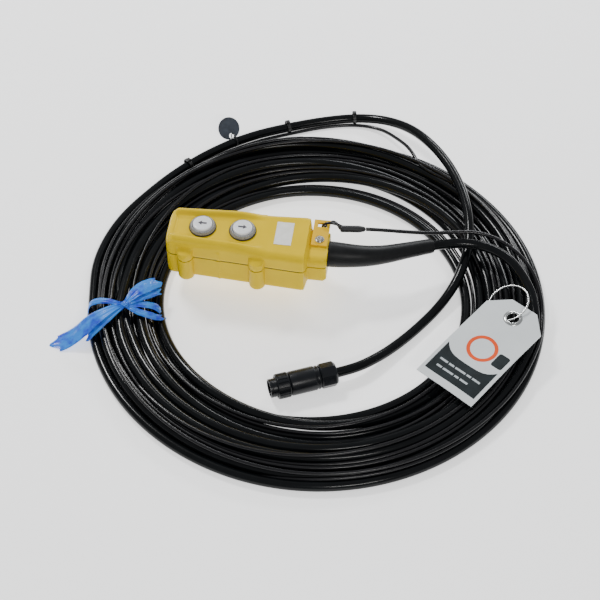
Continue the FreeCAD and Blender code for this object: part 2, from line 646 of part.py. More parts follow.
def plug():
    place = plug_place()
    gland = turned("gland_form", [
        ("@cable_radius + 0.4", "0"), ("@gland_radius - 2.5", "0"), ("@gland_radius", "2.5"),
        ("@gland_radius", "16"), ("@gland_radius - 1.4", "17"), ("8.1", "17"), ("8.1", "4"),
        ("@cable_radius + 0.4", "4")], place)
    keep(fluted("gland_nut", gland, place, 12, size("gland_radius"), 0.9, 1.5, 15.5), "gland_nut")
    keep(turned("seal_form", [
        ("@cable_radius", "4"), ("8", "4"), ("8", "10"), ("@cable_radius", "10")], place), "gland_seal")
    keep(turned("shell_form", [
        ("6.5", "10.2"), ("8", "10.2"), ("8", "17.2"), ("@plug_shell_radius", "17.2"),
        ("@plug_shell_radius", "47"), ("9.9", "47"), ("9.9", "51"), ("@nose_radius", "51"),
        ("@nose_radius", "@plug_length"), ("7.9", "@plug_length"), ("7.9", "58"), ("7.4", "58"),
        ("7.4", "43"), ("6.5", "43")],
        place), "plug_shell")
    nut = turned("coupling_form", [
        ("9.95", "47.3"), ("@coupling_radius - 0.6", "47.3"), ("@coupling_radius", "48"),
        ("@coupling_radius", "59.4"), ("@coupling_radius - 0.8", "60.2"), ("9.95", "60.2")], place)
    keep(fluted("coupling_nut", nut, place, 18, size("coupling_radius"), 0.6, 47.5, 59.5),
         "coupling_nut")
    insert = turned("insert_form", [
        ("0", "40"), ("6.4", "40"), ("6.4", "43"), ("7.35", "43"), ("7.35", "58"), ("0", "58")], place)
    outer, bore, back, front = 1.2, 0.7, 38, 57.9
    sockets, passages = [], []
    for i in range(5):
        angle = 2 * math.pi * i / 5
        foot = Vector(4.4 * math.cos(angle), 4.4 * math.sin(angle), back)
        sleeve_form = Part.makeCylinder(outer, front - back, foot)
        opening = Part.makeCylinder(bore, 12, foot + Vector(0, 0, front - back - 11))
        sockets.append(made(f"socket_{i}", sleeve_form.cut(opening), place))
        passages.append(made(f"socket_passage_{i}", Part.makeCylinder(outer, 30, foot), place))
    keep(cut("plug_insert", insert, passages), "plug_insert")
    keep(group("contact_sockets", sockets), "contact_sockets")
    keep(turned("plug_cable_form", [
        ("0", "0"), ("@cable_radius", "0"), ("@cable_radius", "24"), ("0", "24")], place),
        "plug_cable_end")


# ---------------------------------------------------------------- tags, ties and ribbon

def ring_place():
    """The tag ring lies tilted on the turns, so that it can pass through the eyelet."""
    towards_eyelet = Vector(5.5, -19.8, 0)
    return Placement(Vector(261, -22.9, -19.7), Rotation(towards_eyelet, 24))


def card_place():
    """The card runs down the coil from its eyelet end."""
    heading = Rotation(Vector(0, 0, 1), -124.4)
    slope = Rotation(Vector(0, 1, 0), 3.0)
    return Placement(Vector(277.2, -27, -19.1), heading.multiply(slope))


def instruction_tag():
    """Laminated card with a metal eyelet, on a wire ring tucked under one turn of the cable."""
    keep(made("tag_ring", Part.makeTorus(size("ring_radius"), 0.9), ring_place()), "tag_ring")
    length, width, thick = size("tag_length"), size("tag_width"), size("tag_thickness")
    chamfer = 18.0
    corners = [(0, chamfer - width / 2), (chamfer, -width / 2), (length, -width / 2),
               (length, width / 2), (chamfer, width / 2), (0, width / 2 - chamfer)]
    rim = Part.makePolygon([Vector(x, y, 0) for x, y in corners + corners[:1]])
    card = Part.Face(rim).extrude(Vector(0, 0, thick))
    eyelet_x, bore, flange_radius, lip = 19.0, 5.8, 9.5, 0.5
    seat = bore + 1.0
    card = card.cut(Part.makeCylinder(seat, 4 * thick, Vector(eyelet_x, 0, -2 * thick)))
    barrel = Part.makeCylinder(seat, thick, Vector(eyelet_x, 0, 0))
    for level in (thick, -lip):
        barrel = barrel.fuse(Part.makeCylinder(flange_radius, lip, Vector(eyelet_x, 0, level)))
    barrel = barrel.cut(Part.makeCylinder(bore, 6, Vector(eyelet_x, 0, -3)))
    keep(made("instruction_tag", card, card_place()), "instruction_tag")
    keep(made("tag_eyelet", barrel, card_place()), "tag_eyelet")


def disc_tag():
    """Small round tag on a wire loop round the outlying run of the cable."""
    start, end = Vector(*CABLE_TAIL[6]), Vector(*CABLE_TAIL[7])
    along = (end - start).normalize()
    outward = Vector(-along.y, along.x, 0)
    on_cable = start + (end - start) * 0.62
    loop_radius, loop_wire = 6.9, 0.6
    loop_centre = on_cable + outward * 1.5 + Vector(0, 0, 2.7)
    loop = Part.makeTorus(loop_radius, loop_wire, loop_centre, along)
    keep(made("disc_loop", loop), "disc_loop")
    hole_offset, thick = 8.6, 1.0
    heading = Rotation(Vector(0, 0, 1), math.degrees(math.atan2(along.y, along.x)))
    lean = heading.multiply(Rotation(Vector(1, 0, 0), 50))
    hole_centre = loop_centre + outward * loop_radius
    centre = hole_centre + lean.multVec(Vector(0, hole_offset, 0))
    disc = Part.makeCylinder(size("disc_radius"), thick, Vector(0, 0, -thick / 2))
    disc = disc.cut(Part.makeCylinder(2.9, 4 * thick, Vector(0, -hole_offset, -2 * thick)))
    keep(made("disc_tag", disc, Placement(centre, lean)), "disc_tag")
    print("disc hinge at", hole_centre, "along", along)


def band(spot, heading, half_height, half_width, depth):
    """Closed tie band round the cable and the wire beside it."""
    outer = Part.makeBox(2 * half_width, depth, 2 * half_height,
                         Vector(-half_width, -depth / 2, -half_height))
    wall = 1.0
    inner = Part.makeBox(2 * (half_width - wall), 2 * depth, 2 * (half_height - wall),
                         Vector(-half_width + wall, -depth, -half_height + wall))
    head = Part.makeBox(5, depth + 1, 4.2, Vector(-2.5, -(depth + 1) / 2, half_height - 0.4))
    form = outer.cut(inner).fuse(head)
    turn = Rotation(Vector(0, 1, 0), Vector(heading.x, heading.y, 0))
    form.Placement = Placement(spot, turn)
    return form


def cable_ties():
    ties = []
    for i, (first, second, share) in enumerate(((5, 6, 0.36), (7, 8, 0.92), (9, 10, 0.84))):
        start, end = Vector(*CABLE_TAIL[first]), Vector(*CABLE_TAIL[second])
        heading = end - start
        spot = start + heading * share + Vector(0, 0, 1.2)
        ties.append(made(f"tie_{i}", band(spot, heading, 6.2, 7.0, 3.6)))
    keep(group("cable_ties", ties), "cable_ties")


def ribbon():
    """Flat plastic tape tied round the turns: a band, a knot and loose ends."""
    low, high = size("floor_level"), size("floor_level") + size("coil_height")
    inner, outer = size("coil_inner"), size("coil_outer")
    gap, film = 0.5, 0.6
    reach = outer - inner + 2 * (gap + film)
    cover = Part.makeBox(reach, 15, high - low + gap + film, Vector(inner - gap - film, -7.5, low))
    hollow = Part.makeBox(reach - 2 * film, 17, high - low + gap, Vector(inner - gap, -8.5, low))
    form = cover.cut(hollow)
    form.Placement = Placement(Vector(size("coil_x"), size("coil_y"), 0),
                               Rotation(Vector(0, 0, 1), 194))
    knot_spot = Vector(-113, -72, high + 4.9)
    knot = Part.makeSphere(4.6, knot_spot)
    slabs = [(212, 0, 0, 42), (212, 42, 36, 40), (48, 0, 0, 48)]
    strips = [knot]
    for angle, start, drop, length in slabs:
        heading = Rotation(Vector(0, 0, 1), angle)
        strip = Part.makeBox(length, 16, 1.0, Vector(0, -8, -0.5))
        corner = knot_spot + heading.multVec(Vector(start, 0, 0))
        strip.Placement = Placement(corner, heading.multiply(Rotation(Vector(0, 1, 0), drop)))
        strips.append(strip)
    bridge = Part.makeBox(8, 8, 5, knot_spot + Vector(-4, -4, -4.2))
    keep(made("ribbon", form.fuse(strips + [bridge])), "ribbon")


# ---------------------------------------------------------------- build, check, export

front_cover()
rear_case()
case_gasket()
cover_screws()
for button_label in ("down", "up"):
    button(button_label, f"@button_{button_label}_x")
switch_block()
terminal_screws()
wire_anchor()
wire_loop()
cable_entry()
conductors()
label_plate()
cable()
wire_eye()
plug()
instruction_tag()
disc_tag()
cable_ties()
ribbon()

doc.recompute()
for item in doc.Objects:
    if "Invalid" in item.State or "Error" in item.State:
        raise RuntimeError(f"{item.Name} failed: {item.State}")
os.makedirs("parts", exist_ok=True)
for piece in nodes:
    shape = piece.Shape
    if shape.isNull() or not shape.isValid() or not shape.Solids:
        raise RuntimeError(f"{piece.Label} is not a valid solid")
    box = shape.BoundBox
    print(f"{piece.Label}: {len(shape.Solids)} solid, {shape.Volume:.0f} mm3,",
          f"x {box.XMin:.1f}..{box.XMax:.1f} y {box.YMin:.1f}..{box.YMax:.1f}",
          f"z {box.ZMin:.1f}..{box.ZMax:.1f}")
    shape.exportStep(f"parts/{piece.Label}.step")
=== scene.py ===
import json
import math
import random

import bmesh
import bpy
import numpy as np
from mathutils import Matrix, Vector
from mathutils.geometry import tessellate_polygon


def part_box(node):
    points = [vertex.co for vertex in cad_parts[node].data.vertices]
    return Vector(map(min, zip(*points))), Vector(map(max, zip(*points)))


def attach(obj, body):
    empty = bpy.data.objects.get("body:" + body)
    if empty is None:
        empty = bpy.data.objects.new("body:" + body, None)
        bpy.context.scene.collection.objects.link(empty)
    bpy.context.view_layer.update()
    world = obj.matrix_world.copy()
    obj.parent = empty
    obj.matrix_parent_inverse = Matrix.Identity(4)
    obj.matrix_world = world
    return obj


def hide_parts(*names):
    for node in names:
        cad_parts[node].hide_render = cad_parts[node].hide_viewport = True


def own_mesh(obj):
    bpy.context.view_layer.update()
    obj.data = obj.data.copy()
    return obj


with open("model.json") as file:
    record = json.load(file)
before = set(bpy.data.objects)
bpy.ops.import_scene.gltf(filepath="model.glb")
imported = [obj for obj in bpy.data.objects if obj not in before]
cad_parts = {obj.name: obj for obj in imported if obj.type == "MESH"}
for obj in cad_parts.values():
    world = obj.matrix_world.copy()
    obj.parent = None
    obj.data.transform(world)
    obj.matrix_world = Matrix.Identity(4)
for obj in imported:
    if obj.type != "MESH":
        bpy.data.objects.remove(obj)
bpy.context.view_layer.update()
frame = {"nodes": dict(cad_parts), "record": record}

# Two-button pendant control station, with its coiled cable, suspension wire, plug, tags and tape.
# Lengths are written in millimetres and turned into metres where a mesh or curve is made.

MM = 0.001


# ---- camera, floor and light

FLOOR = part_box("cord_coil")[0].z / MM
CAMERA_PLACE, CAMERA_TARGET = (193.3, -1048.9, 1185.7), (55.5, -29.6, -40.0)
LAMP_TARGET = (0.06, 0.0, 0.0)
# Each lamp: its name, place, width, height, power and colour. These are in metres and watts.
LAMPS = [
    ("key", (-0.9, 0.9, 1.7), 0.5, 0.25, 30.0, (1.0, 1.0, 1.0)),
    ("front", (0.7, -1.5, 1.3), 0.6, 0.14, 12.0, (1.0, 0.985, 0.96)),
    ("back", (0.5, 1.6, 0.9), 1.0, 0.2, 16.0, (0.96, 0.98, 1.0)),
]


def put_in_scene(name, data):
    """Makes an object from a mesh, curve, lamp or camera and links it."""
    thing = bpy.data.objects.new(name, data)
    bpy.context.scene.collection.objects.link(thing)
    return thing


def look_at(thing, target):
    """Turns a camera or lamp so that it faces the target."""
    way = Vector(target) - thing.location
    thing.rotation_euler = way.to_track_quat("-Z", "Y").to_euler()


def add_camera():
    lens = bpy.data.cameras.new("camera")
    lens.lens, lens.sensor_width = 96.0, 36.0
    lens.clip_end = 20.0
    camera = put_in_scene("camera", lens)
    camera.location = Vector(CAMERA_PLACE) * MM
    look_at(camera, Vector(CAMERA_TARGET) * MM)
    bpy.context.scene.camera = camera


def add_lamp(name, place, width, height, power, colour):
    lamp = bpy.data.lights.new(name, "AREA")
    lamp.shape, lamp.size, lamp.size_y = "RECTANGLE", width, height
    lamp.energy, lamp.color = power, colour
    holder = put_in_scene(name, lamp)
    holder.location = Vector(place)
    look_at(holder, LAMP_TARGET)


def add_stage():
    """A plain pale floor and soft studio light."""
    mesh = bpy.data.meshes.new("floor")
    reach, level, glow_power, sky_power = 6.0, FLOOR * MM - 0.0002, 0.9, 0.42
    corners = [(x * reach, y * reach, level) for x, y in ((-1, -1), (1, -1), (1, 1), (-1, 1))]
    mesh.from_pydata(corners, [], [(0, 1, 2, 3)])
    floor = put_in_scene("floor", mesh)
    paper = surface("floor_white", (0.90, 0.90, 0.90), rough=0.75, mottle=0.01)
    glow = paper.node_tree.nodes["Principled BSDF"].inputs
    glow["Emission Color"].default_value = (1.0, 1.0, 1.0, 1.0)
    glow["Emission Strength"].default_value = glow_power
    mesh.materials.append(paper)
    world = bpy.data.worlds.new("studio")
    world.use_nodes = True
    sky = world.node_tree.nodes["Background"].inputs
    sky["Color"].default_value = (0.95, 0.97, 1.0, 1.0)
    sky["Strength"].default_value = sky_power
    bpy.context.scene.world = world
    for lamp in LAMPS:
        add_lamp(*lamp)


# ---- materials

COAT_ROUGHNESS, NOISE_ROUGHNESS = 0.12, 0.55
GRAIN_DEPTH = 0.4                  # of the grain at full strength
WEAR_FROM, WEAR_TO = 0.52, 0.62    # pointiness where an edge's rubbed colour starts and is full


def surface(name, colour, rough, metallic=0.0, mottle=0.05, mottle_scale=60.0, grain=0.0,
            grain_scale=900.0, swing=0.06, coat=0.0, specular=0.5, second=None, second_share=0.5,
            wear=None):
    """A procedural finish in object space: mottled colour, uneven gloss and a fine grain.

    swing is how far the roughness strays, second a colour for blotches, and wear the colour of rubbed edges.
    """
    mat = bpy.data.materials.new(name)
    mat.use_nodes = True
    tree = mat.node_tree
    link = tree.links.new
    shader = tree.nodes["Principled BSDF"].inputs
    for key, value in (("Metallic", metallic), ("Specular IOR Level", specular),
                       ("Coat Weight", coat), ("Coat Roughness", COAT_ROUGHNESS)):
        shader[key].default_value = value

    def node(kind, **values):
        made = tree.nodes.new("ShaderNode" + kind)
        for key, value in values.items():
            made.inputs[key.replace("_", " ")].default_value = value
        return made

    place = node("TexCoord")

    def noise(scale, detail):
        made = node("TexNoise", Scale=scale, Detail=detail, Roughness=NOISE_ROUGHNESS)
        link(place.outputs["Object"], made.inputs["Vector"])
        return made.outputs["Fac"]

    ramp = node("ValToRGB")
    low, high = ramp.color_ramp.elements
    low.position, high.position = (second_share - 0.08, second_share + 0.08) if second else (0.3, 0.7)
    darker = second or tuple(c * (1 - mottle) for c in colour)
    lighter = tuple(min(1.0, c * (1 + mottle)) for c in colour)
    low.color, high.color = (*darker, 1.0), (*lighter, 1.0)
    link(noise(mottle_scale, 4.0), ramp.inputs["Fac"])
    tint = ramp.outputs["Color"]
    if wear:
        edge = node("MapRange", From_Min=WEAR_FROM, From_Max=WEAR_TO)
        link(node("NewGeometry").outputs["Pointiness"], edge.inputs["Value"])
        rubbed = node("Mix")
        rubbed.data_type = "RGBA"
        rubbed.inputs["B"].default_value = (*wear, 1.0)
        link(edge.outputs["Result"], rubbed.inputs["Factor"])
        link(tint, rubbed.inputs["A"])
        tint = rubbed.outputs["Result"]
    link(tint, shader["Base Color"])
    spread = node("MapRange", To_Min=max(0.02, rough - swing), To_Max=min(1.0, rough + swing))
    link(noise(mottle_scale * 2.3, 3.0), spread.inputs["Value"])
    link(spread.outputs["Result"], shader["Roughness"])
    if grain:
        bump = node("Bump", Strength=grain, Distance=GRAIN_DEPTH * MM)
        link(noise(grain_scale, 2.0), bump.inputs["Height"])
        link(bump.outputs["Normal"], shader["Normal"])
    return mat


# Each finish: its colour, its roughness, and what else differs from a plain one.
FINISHES = {
    "housing": ((0.76, 0.53, 0.0), 0.3, dict(
        mottle_scale=35, grain=0.12, grain_scale=1400, specular=0.15, wear=(0.84, 0.6, 0.0))),
    "gasket_rubber": ((0.012, 0.012, 0.012), 0.7, dict(mottle=0.2, grain=0.25)),
    "steel_screws": ((0.62, 0.61, 0.58), 0.28, dict(
        metallic=1.0, mottle=0.12, mottle_scale=400, grain=0.1, grain_scale=2500)),
    "black_moulding": ((0.014, 0.014, 0.015), 0.42, dict(mottle=0.2, grain=0.2, grain_scale=1800)),
    "brass_parts": ((0.78, 0.56, 0.2), 0.3, dict(metallic=1.0, mottle=0.12, mottle_scale=300, grain=0.08)),
    "anchor_plate": ((0.70, 0.40, 0.0), 0.34, dict(
        mottle=0.08, mottle_scale=120, grain=0.1, specular=0.3, wear=(0.78, 0.47, 0.0))),
    "coated_wire": ((0.005, 0.005, 0.006), 0.24, dict(
        mottle=0.3, mottle_scale=200, grain=0.012, grain_scale=160, specular=0.4)),
    "ferrule_black": ((0.012, 0.012, 0.013), 0.5, dict(
        mottle=0.3, mottle_scale=300, grain=0.3, grain_scale=1500)),
    "sleeve_rubber": ((0.006, 0.0065, 0.007), 0.42, dict(
        specular=0.22, mottle=0.25, mottle_scale=90, grain=0.2, grain_scale=1600)),
    "cable_jacket": ((0.0035, 0.0042, 0.0048), 0.17, dict(
        mottle=0.3, mottle_scale=40, grain=0.01, grain_scale=120, swing=0.03, specular=0.2)),
    "conductors": ((0.55, 0.05, 0.04), 0.4, dict(mottle=0.1)),
    "label_white": ((0.80, 0.79, 0.74), 0.45, dict(mottle_scale=160, grain=0.3, grain_scale=500)),
    "polished_steel": ((0.58, 0.59, 0.58), 0.22, dict(
        metallic=1.0, mottle=0.06, mottle_scale=300, grain=0.01, grain_scale=600)),
    "plug_plastic": ((0.005, 0.006, 0.008), 0.3, dict(
        specular=0.3, mottle=0.25, mottle_scale=150, grain=0.12, grain_scale=1800)),
    "plug_insert": ((0.03, 0.03, 0.033), 0.5, dict(mottle=0.15, grain=0.1)),
    "tag_card": ((0.76, 0.80, 0.81), 0.14, dict(mottle=0.02, coat=0.7, grain=0.04, grain_scale=120)),
    "disc_black": ((0.05, 0.062, 0.085), 0.4, dict(mottle=0.3, mottle_scale=160, grain=0.2)),
    "tie_nylon": ((0.01, 0.01, 0.01), 0.38, dict(mottle=0.2, grain=0.1)),
    "blue_tape": ((0.03, 0.24, 0.80), 0.3, dict(
        mottle_scale=75, second=(0.02, 0.06, 0.62), second_share=0.43, grain=0.35, grain_scale=240,
        coat=0.1, specular=0.35, swing=0.1)),
    "button_white": ((0.80, 0.81, 0.82), 0.35, dict(
        mottle=0.06, mottle_scale=500, grain=0.15, grain_scale=1500, coat=0.2)),
    "bezel_grey": ((0.36, 0.365, 0.37), 0.45, dict(
        second=(0.13, 0.13, 0.135), second_share=0.47, mottle_scale=1300, grain=0.5, grain_scale=1500)),
    "spring_steel": ((0.6, 0.6, 0.6), 0.25, dict(metallic=1.0, mottle=0.1)),
    "print_orange": ((0.86, 0.09, 0.01), 0.3, {}),
    "print_black": ((0.009, 0.015, 0.017), 0.25, dict(mottle=0.25, mottle_scale=90, coat=0.15)),
    "print_grey": ((0.50, 0.55, 0.57), 0.3, dict(mottle=0.06)),
    "arrow_ink": ((0.05, 0.045, 0.06), 0.5, dict(mottle=0.3, mottle_scale=700)),
}
finish = {name: surface(name, colour, rough, **rest) for name, (colour, rough, rest) in FINISHES.items()}
slot_of = {entry["node"]: entry["material_slot"] for entry in frame["record"]["subparts"]}
body_of_node = {node: body for body, members in frame["record"]["behaviour"]["bodies"].items()
                for node in members}


def dress_cad_nodes():
    """Every carried-over node takes its slot's procedural finish."""
    for node, thing in frame["nodes"].items():
        thing.data.materials.clear()
        thing.data.materials.append(finish[slot_of[node]])


# ---- mesh helpers

def new_piece(name, mesh, slot, node=None, body="root", look=None):
    """Links a piece, gives it its finish and lets it ride on its CAD body."""
    mesh.name = name
    piece = put_in_scene(name, mesh)
    mesh.materials.append(finish[look or slot])
    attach(piece, body_of_node[node] if node else body)
    if node:
        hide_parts(node)
    return piece


def mesh_of(form, smooth_angle=None, mesh=None):
    """Turns a bmesh form into a mesh. With an angle, it is smooth but for its sharper edges."""
    if smooth_angle:
        for face in form.faces:
            face.smooth = True
        for edge in form.edges:
            if len(edge.link_faces) == 2:
                edge.smooth = edge.calc_face_angle() < math.radians(smooth_angle)
    mesh = mesh or bpy.data.meshes.new("mesh")
    form.to_mesh(mesh)
    form.free()
    return mesh


def mesh_from(points, faces, smooth_angle=35.0):
    """A mesh in metres from points in millimetres."""
    mesh = bpy.data.meshes.new("mesh")
    mesh.from_pydata([tuple(Vector(p) * MM) for p in points], [], faces)
    form = bmesh.new()
    form.from_mesh(mesh)
    bmesh.ops.remove_doubles(form, verts=form.verts, dist=1e-7)
    bmesh.ops.recalc_face_normals(form, faces=form.faces)
    return mesh_of(form, smooth_angle, mesh)


def net(rows, columns, rows_close=False, columns_close=False):
    """Quads over a grid of points, whose rows and columns may close into rings."""
    faces = []
    for i in range(rows if rows_close else rows - 1):
        here, there = i * columns, (i + 1) % rows * columns
        for j in range(columns if columns_close else columns - 1):
            k = (j + 1) % columns
            faces.append((here + j, here + k, there + k, there + j))
    return faces


def joined(parts):
    """Puts several (points, faces) together."""
    points, faces = [], []
    for more, quads in parts:
        faces += [tuple(len(points) + k for k in quad) for quad in quads]
        points += more
    return points, faces


def circle(steps):
    """Angle, cosine and sine at even steps round a circle."""
    angles = [2 * math.pi * i / steps for i in range(steps)]
    return [(angle, math.cos(angle), math.sin(angle)) for angle in angles]


def turned(name, slot, node, profile, place, segments=96, reshape=None, smooth_angle=35.0):
    """A piece turned from (radius, height) pairs. reshape(radius, height, angle) adds flutes or flats."""
    points = []
    for angle, c, s in circle(segments):
        for radius, height in profile:
            out = reshape(radius, height, angle) if reshape and radius > 0 else radius
            points.append(place @ Vector((out * c, out * s, height)))
    faces = net(segments, len(profile), rows_close=True)
    return new_piece(name, mesh_from(points, faces, smooth_angle), slot, node)


def rounded(profile, radius):
    """Rounds the inner corners of an open profile."""
    out, steps = [profile[0]], 3
    for before, corner, after in zip(profile, profile[1:], profile[2:]):
        a, c, b = Vector(before), Vector(corner), Vector(after)
        reach = min(radius, 0.45 * (a - c).length, 0.45 * (b - c).length)
        start, end = c + (a - c).normalized() * reach, c + (b - c).normalized() * reach
        for i in range(steps + 1):
            share = i / steps
            out.append(tuple(start.lerp(c, share).lerp(c.lerp(end, share), share)))
    out.append(profile[-1])
    return out


def smooth_step(low, high, value):
    share = min(1.0, max(0.0, (value - low) / (high - low)))
    return share * share * (3 - 2 * share)


def soft_max(a, b, width):
    """The larger of two values, with a fillet of about that width between them."""
    gap = max(0.0, width - abs(a - b)) / width
    return max(a, b) + gap * gap * width * 0.25


def axis_place(start, way):
    """A place whose Z axis runs along a direction."""
    return Matrix.Translation(Vector(start)) @ Vector(way).to_track_quat("Z", "Y").to_matrix().to_4x4()


def modifier(piece, kind, name, **settings):
    step = piece.modifiers.new(name, kind)
    for key, value in settings.items():
        setattr(step, key, value)


def bevel(piece, width=0.25, segments=2):
    """Breaks a piece's sharp edges."""
    modifier(piece, "BEVEL", "soft_edges", width=width * MM, segments=segments, limit_method="ANGLE",
             angle_limit=math.radians(40))


def apply_modifiers(piece, smooth_angle):
    """Bakes a piece's modifiers into its mesh."""
    graph = bpy.context.evaluated_depsgraph_get()
    mesh = bpy.data.meshes.new_from_object(piece.evaluated_get(graph))
    old = piece.data
    piece.modifiers.clear()
    piece.data = mesh
    bpy.data.meshes.remove(old)
    form = bmesh.new()
    form.from_mesh(mesh)
    mesh_of(form, smooth_angle, mesh)


def cut(piece, bars, smooth_angle, **settings):
    """Cuts cylinders out of a piece, after any modifiers that it has: (centre, axis, radius, length)."""
    form = bmesh.new()
    for centre, axis, radius, length in bars:
        bmesh.ops.create_cone(form, cap_ends=True, segments=64, radius1=radius * MM, radius2=radius * MM,
                              depth=length * MM, matrix=axis_place(Vector(centre) * MM, axis))
    tool = put_in_scene("tool", mesh_of(form))
    modifier(piece, "BOOLEAN", "holes", object=tool, operation="DIFFERENCE", solver="EXACT", **settings)
    bpy.context.view_layer.update()
    apply_modifiers(piece, smooth_angle)
    bpy.data.objects.remove(tool)


# ---- cable and suspension wire

CABLE_LEAD = [(80, 0, 0), (104, 0, 0), (130, 8, -4), (158, 23, -8), (187, 38, -12), (214, 46, -14),
              (238, 44, -15), (259, 34, -18), (274, 16, -22), (285, -6, -26), (290, -33, -31)]
CABLE_TAIL = [(-153, -40, -45), (-158, -6, -45), (-154, 30, -45), (-143, 65, -45), (-124, 99, -45),
              (-101, 134, -45), (-69, 170, -45), (-31, 200, -45), (12, 221, -45), (50, 236, -45),
              (85, 244, -44), (116, 238, -38), (145, 218, -28), (171, 188, -22), (192, 157, -21),
              (207, 122, -21), (216, 86, -22), (218, 52, -27), (211, 18, -37), (196, -14, -44),
              (174, -48, -45), (152, -77, -43.5), (134, -97, -40), (118, -110.5, -37.5),
              (102.5, -117.5, -37.5)]
WIRE_LEAD = [(114, 27, 12), (133, 31, 9), (153, 36, 4), (176, 43, -2), (199, 50, -5), (222, 55, -6),
             (245, 52, -9), (266, 41, -14), (283, 22, -19), (293, -3, -25), (296.5, -27, -33)]
WIRE_TAIL = [(-95, 129, -44), (-64, 165, -47), (-27, 194, -48), (15, 214.5, -48), (50, 229.3, -48),
             (84, 237, -48), (111, 230.5, -45), (130, 210, -37), (147, 187, -29), (159, 162, -31)]
WIRE_END = [(-46, 171, -45.5), (-36, 179.5, -47.5), (-26, 185, -47.8), (-15.5, 190, -47.8)]
CABLE_RADIUS, WIRE_RADIUS = 5.0, 1.9
COIL_CENTRE = Vector((71.0, -20.0, 0.0))
COIL_INSIDE, COIL_OUTSIDE = 120.0, 262.0   # radii between which a free run crosses the coil

STATIONS = 24                      # points in each turn
FIRST_ANGLE = math.radians(-10.0)  # where the wound turns start, measured from +X
STEP_ANGLE = 2 * math.pi / STATIONS
# A quadratic spline runs inside its control points by this share of a turn's radius.
SPLINE_SHARE = 0.75 + 0.25 * math.cos(STEP_ANGLE)

# Lane of each turn across the bundle, 0 at its inner side and 1 at its outer side.
CABLE_LANES = [0.96, 0.74, 0.42, 0.16, 0.0, 0.3, 0.56, 0.8, 0.62, 0.95, 1.0]
WIRE_LANES = [1.0, 0.8, 0.56, 0.3, 0.12, 0.4, 0.66, 0.85, 0.9, 0.97]
# Inner and outer edge of the bundle, as (degrees, radius).
INNER_EDGE = [(-180, 163), (-165, 167), (-145, 164), (-110, 141), (-85, 133), (-60, 148), (-35, 160),
              (-5, 158), (20, 149), (50, 143), (85, 142), (120, 146), (150, 152)]
OUTER_EDGE = [(-180, 226), (-145, 222), (-110, 220), (-80, 224), (-50, 228), (-20, 230), (10, 230),
              (45, 228), (80, 225), (115, 222), (150, 221)]


def edge_radius(edge, angle):
    """Radius of a bundle edge, interpolated smoothly round the coil."""
    degrees = math.degrees(angle) % 360.0
    spots = sorted((a % 360.0, r) for a, r in edge)
    spots = [(spots[-1][0] - 360.0, spots[-1][1])] + spots + [(spots[0][0] + 360.0, spots[0][1])]
    for (a, r), (b, q) in zip(spots, spots[1:]):
        if a <= degrees <= b:
            return r + (q - r) * smooth_step(a, b, degrees)


def station_angle(k):
    return FIRST_ANGLE - STEP_ANGLE * k


def polar(point):
    offset = Vector(point) - COIL_CENTRE
    return math.hypot(offset.x, offset.y), math.atan2(offset.y, offset.x), offset.z


def crossings(points, radius):
    """Where a free run passes over the stations of the coil: (station, radius, height, size)."""
    found, steps, near = [], 20, 0.5
    for a, b in zip(points, points[1:]):
        for i in range(steps):
            _, t0, _ = polar(Vector(a).lerp(Vector(b), i / steps))
            r1, t1, z1 = polar(Vector(a).lerp(Vector(b), (i + 1) / steps))
            for station in range(STATIONS):
                goal = station_angle(station)
                d0 = math.remainder(t0 - goal, 2 * math.pi)
                d1 = math.remainder(t1 - goal, 2 * math.pi)
                if d0 * d1 <= 0 and abs(d0) < near and COIL_INSIDE < r1 < COIL_OUTSIDE:
                    found.append((station, r1, z1, radius))
    return found


def lane_at(lanes, turns):
    index = min(int(turns), len(lanes) - 2)
    return lanes[index] + (lanes[index + 1] - lanes[index]) * smooth_step(0, 1, turns - index)


def ceiling(angle):
    """Highest that a strand's centre may lie: the runs and the card pass over the right side."""
    degrees = math.degrees(math.remainder(angle, 2 * math.pi))
    return FLOOR + (15.2 if -75 < degrees < 75 else 17.5)


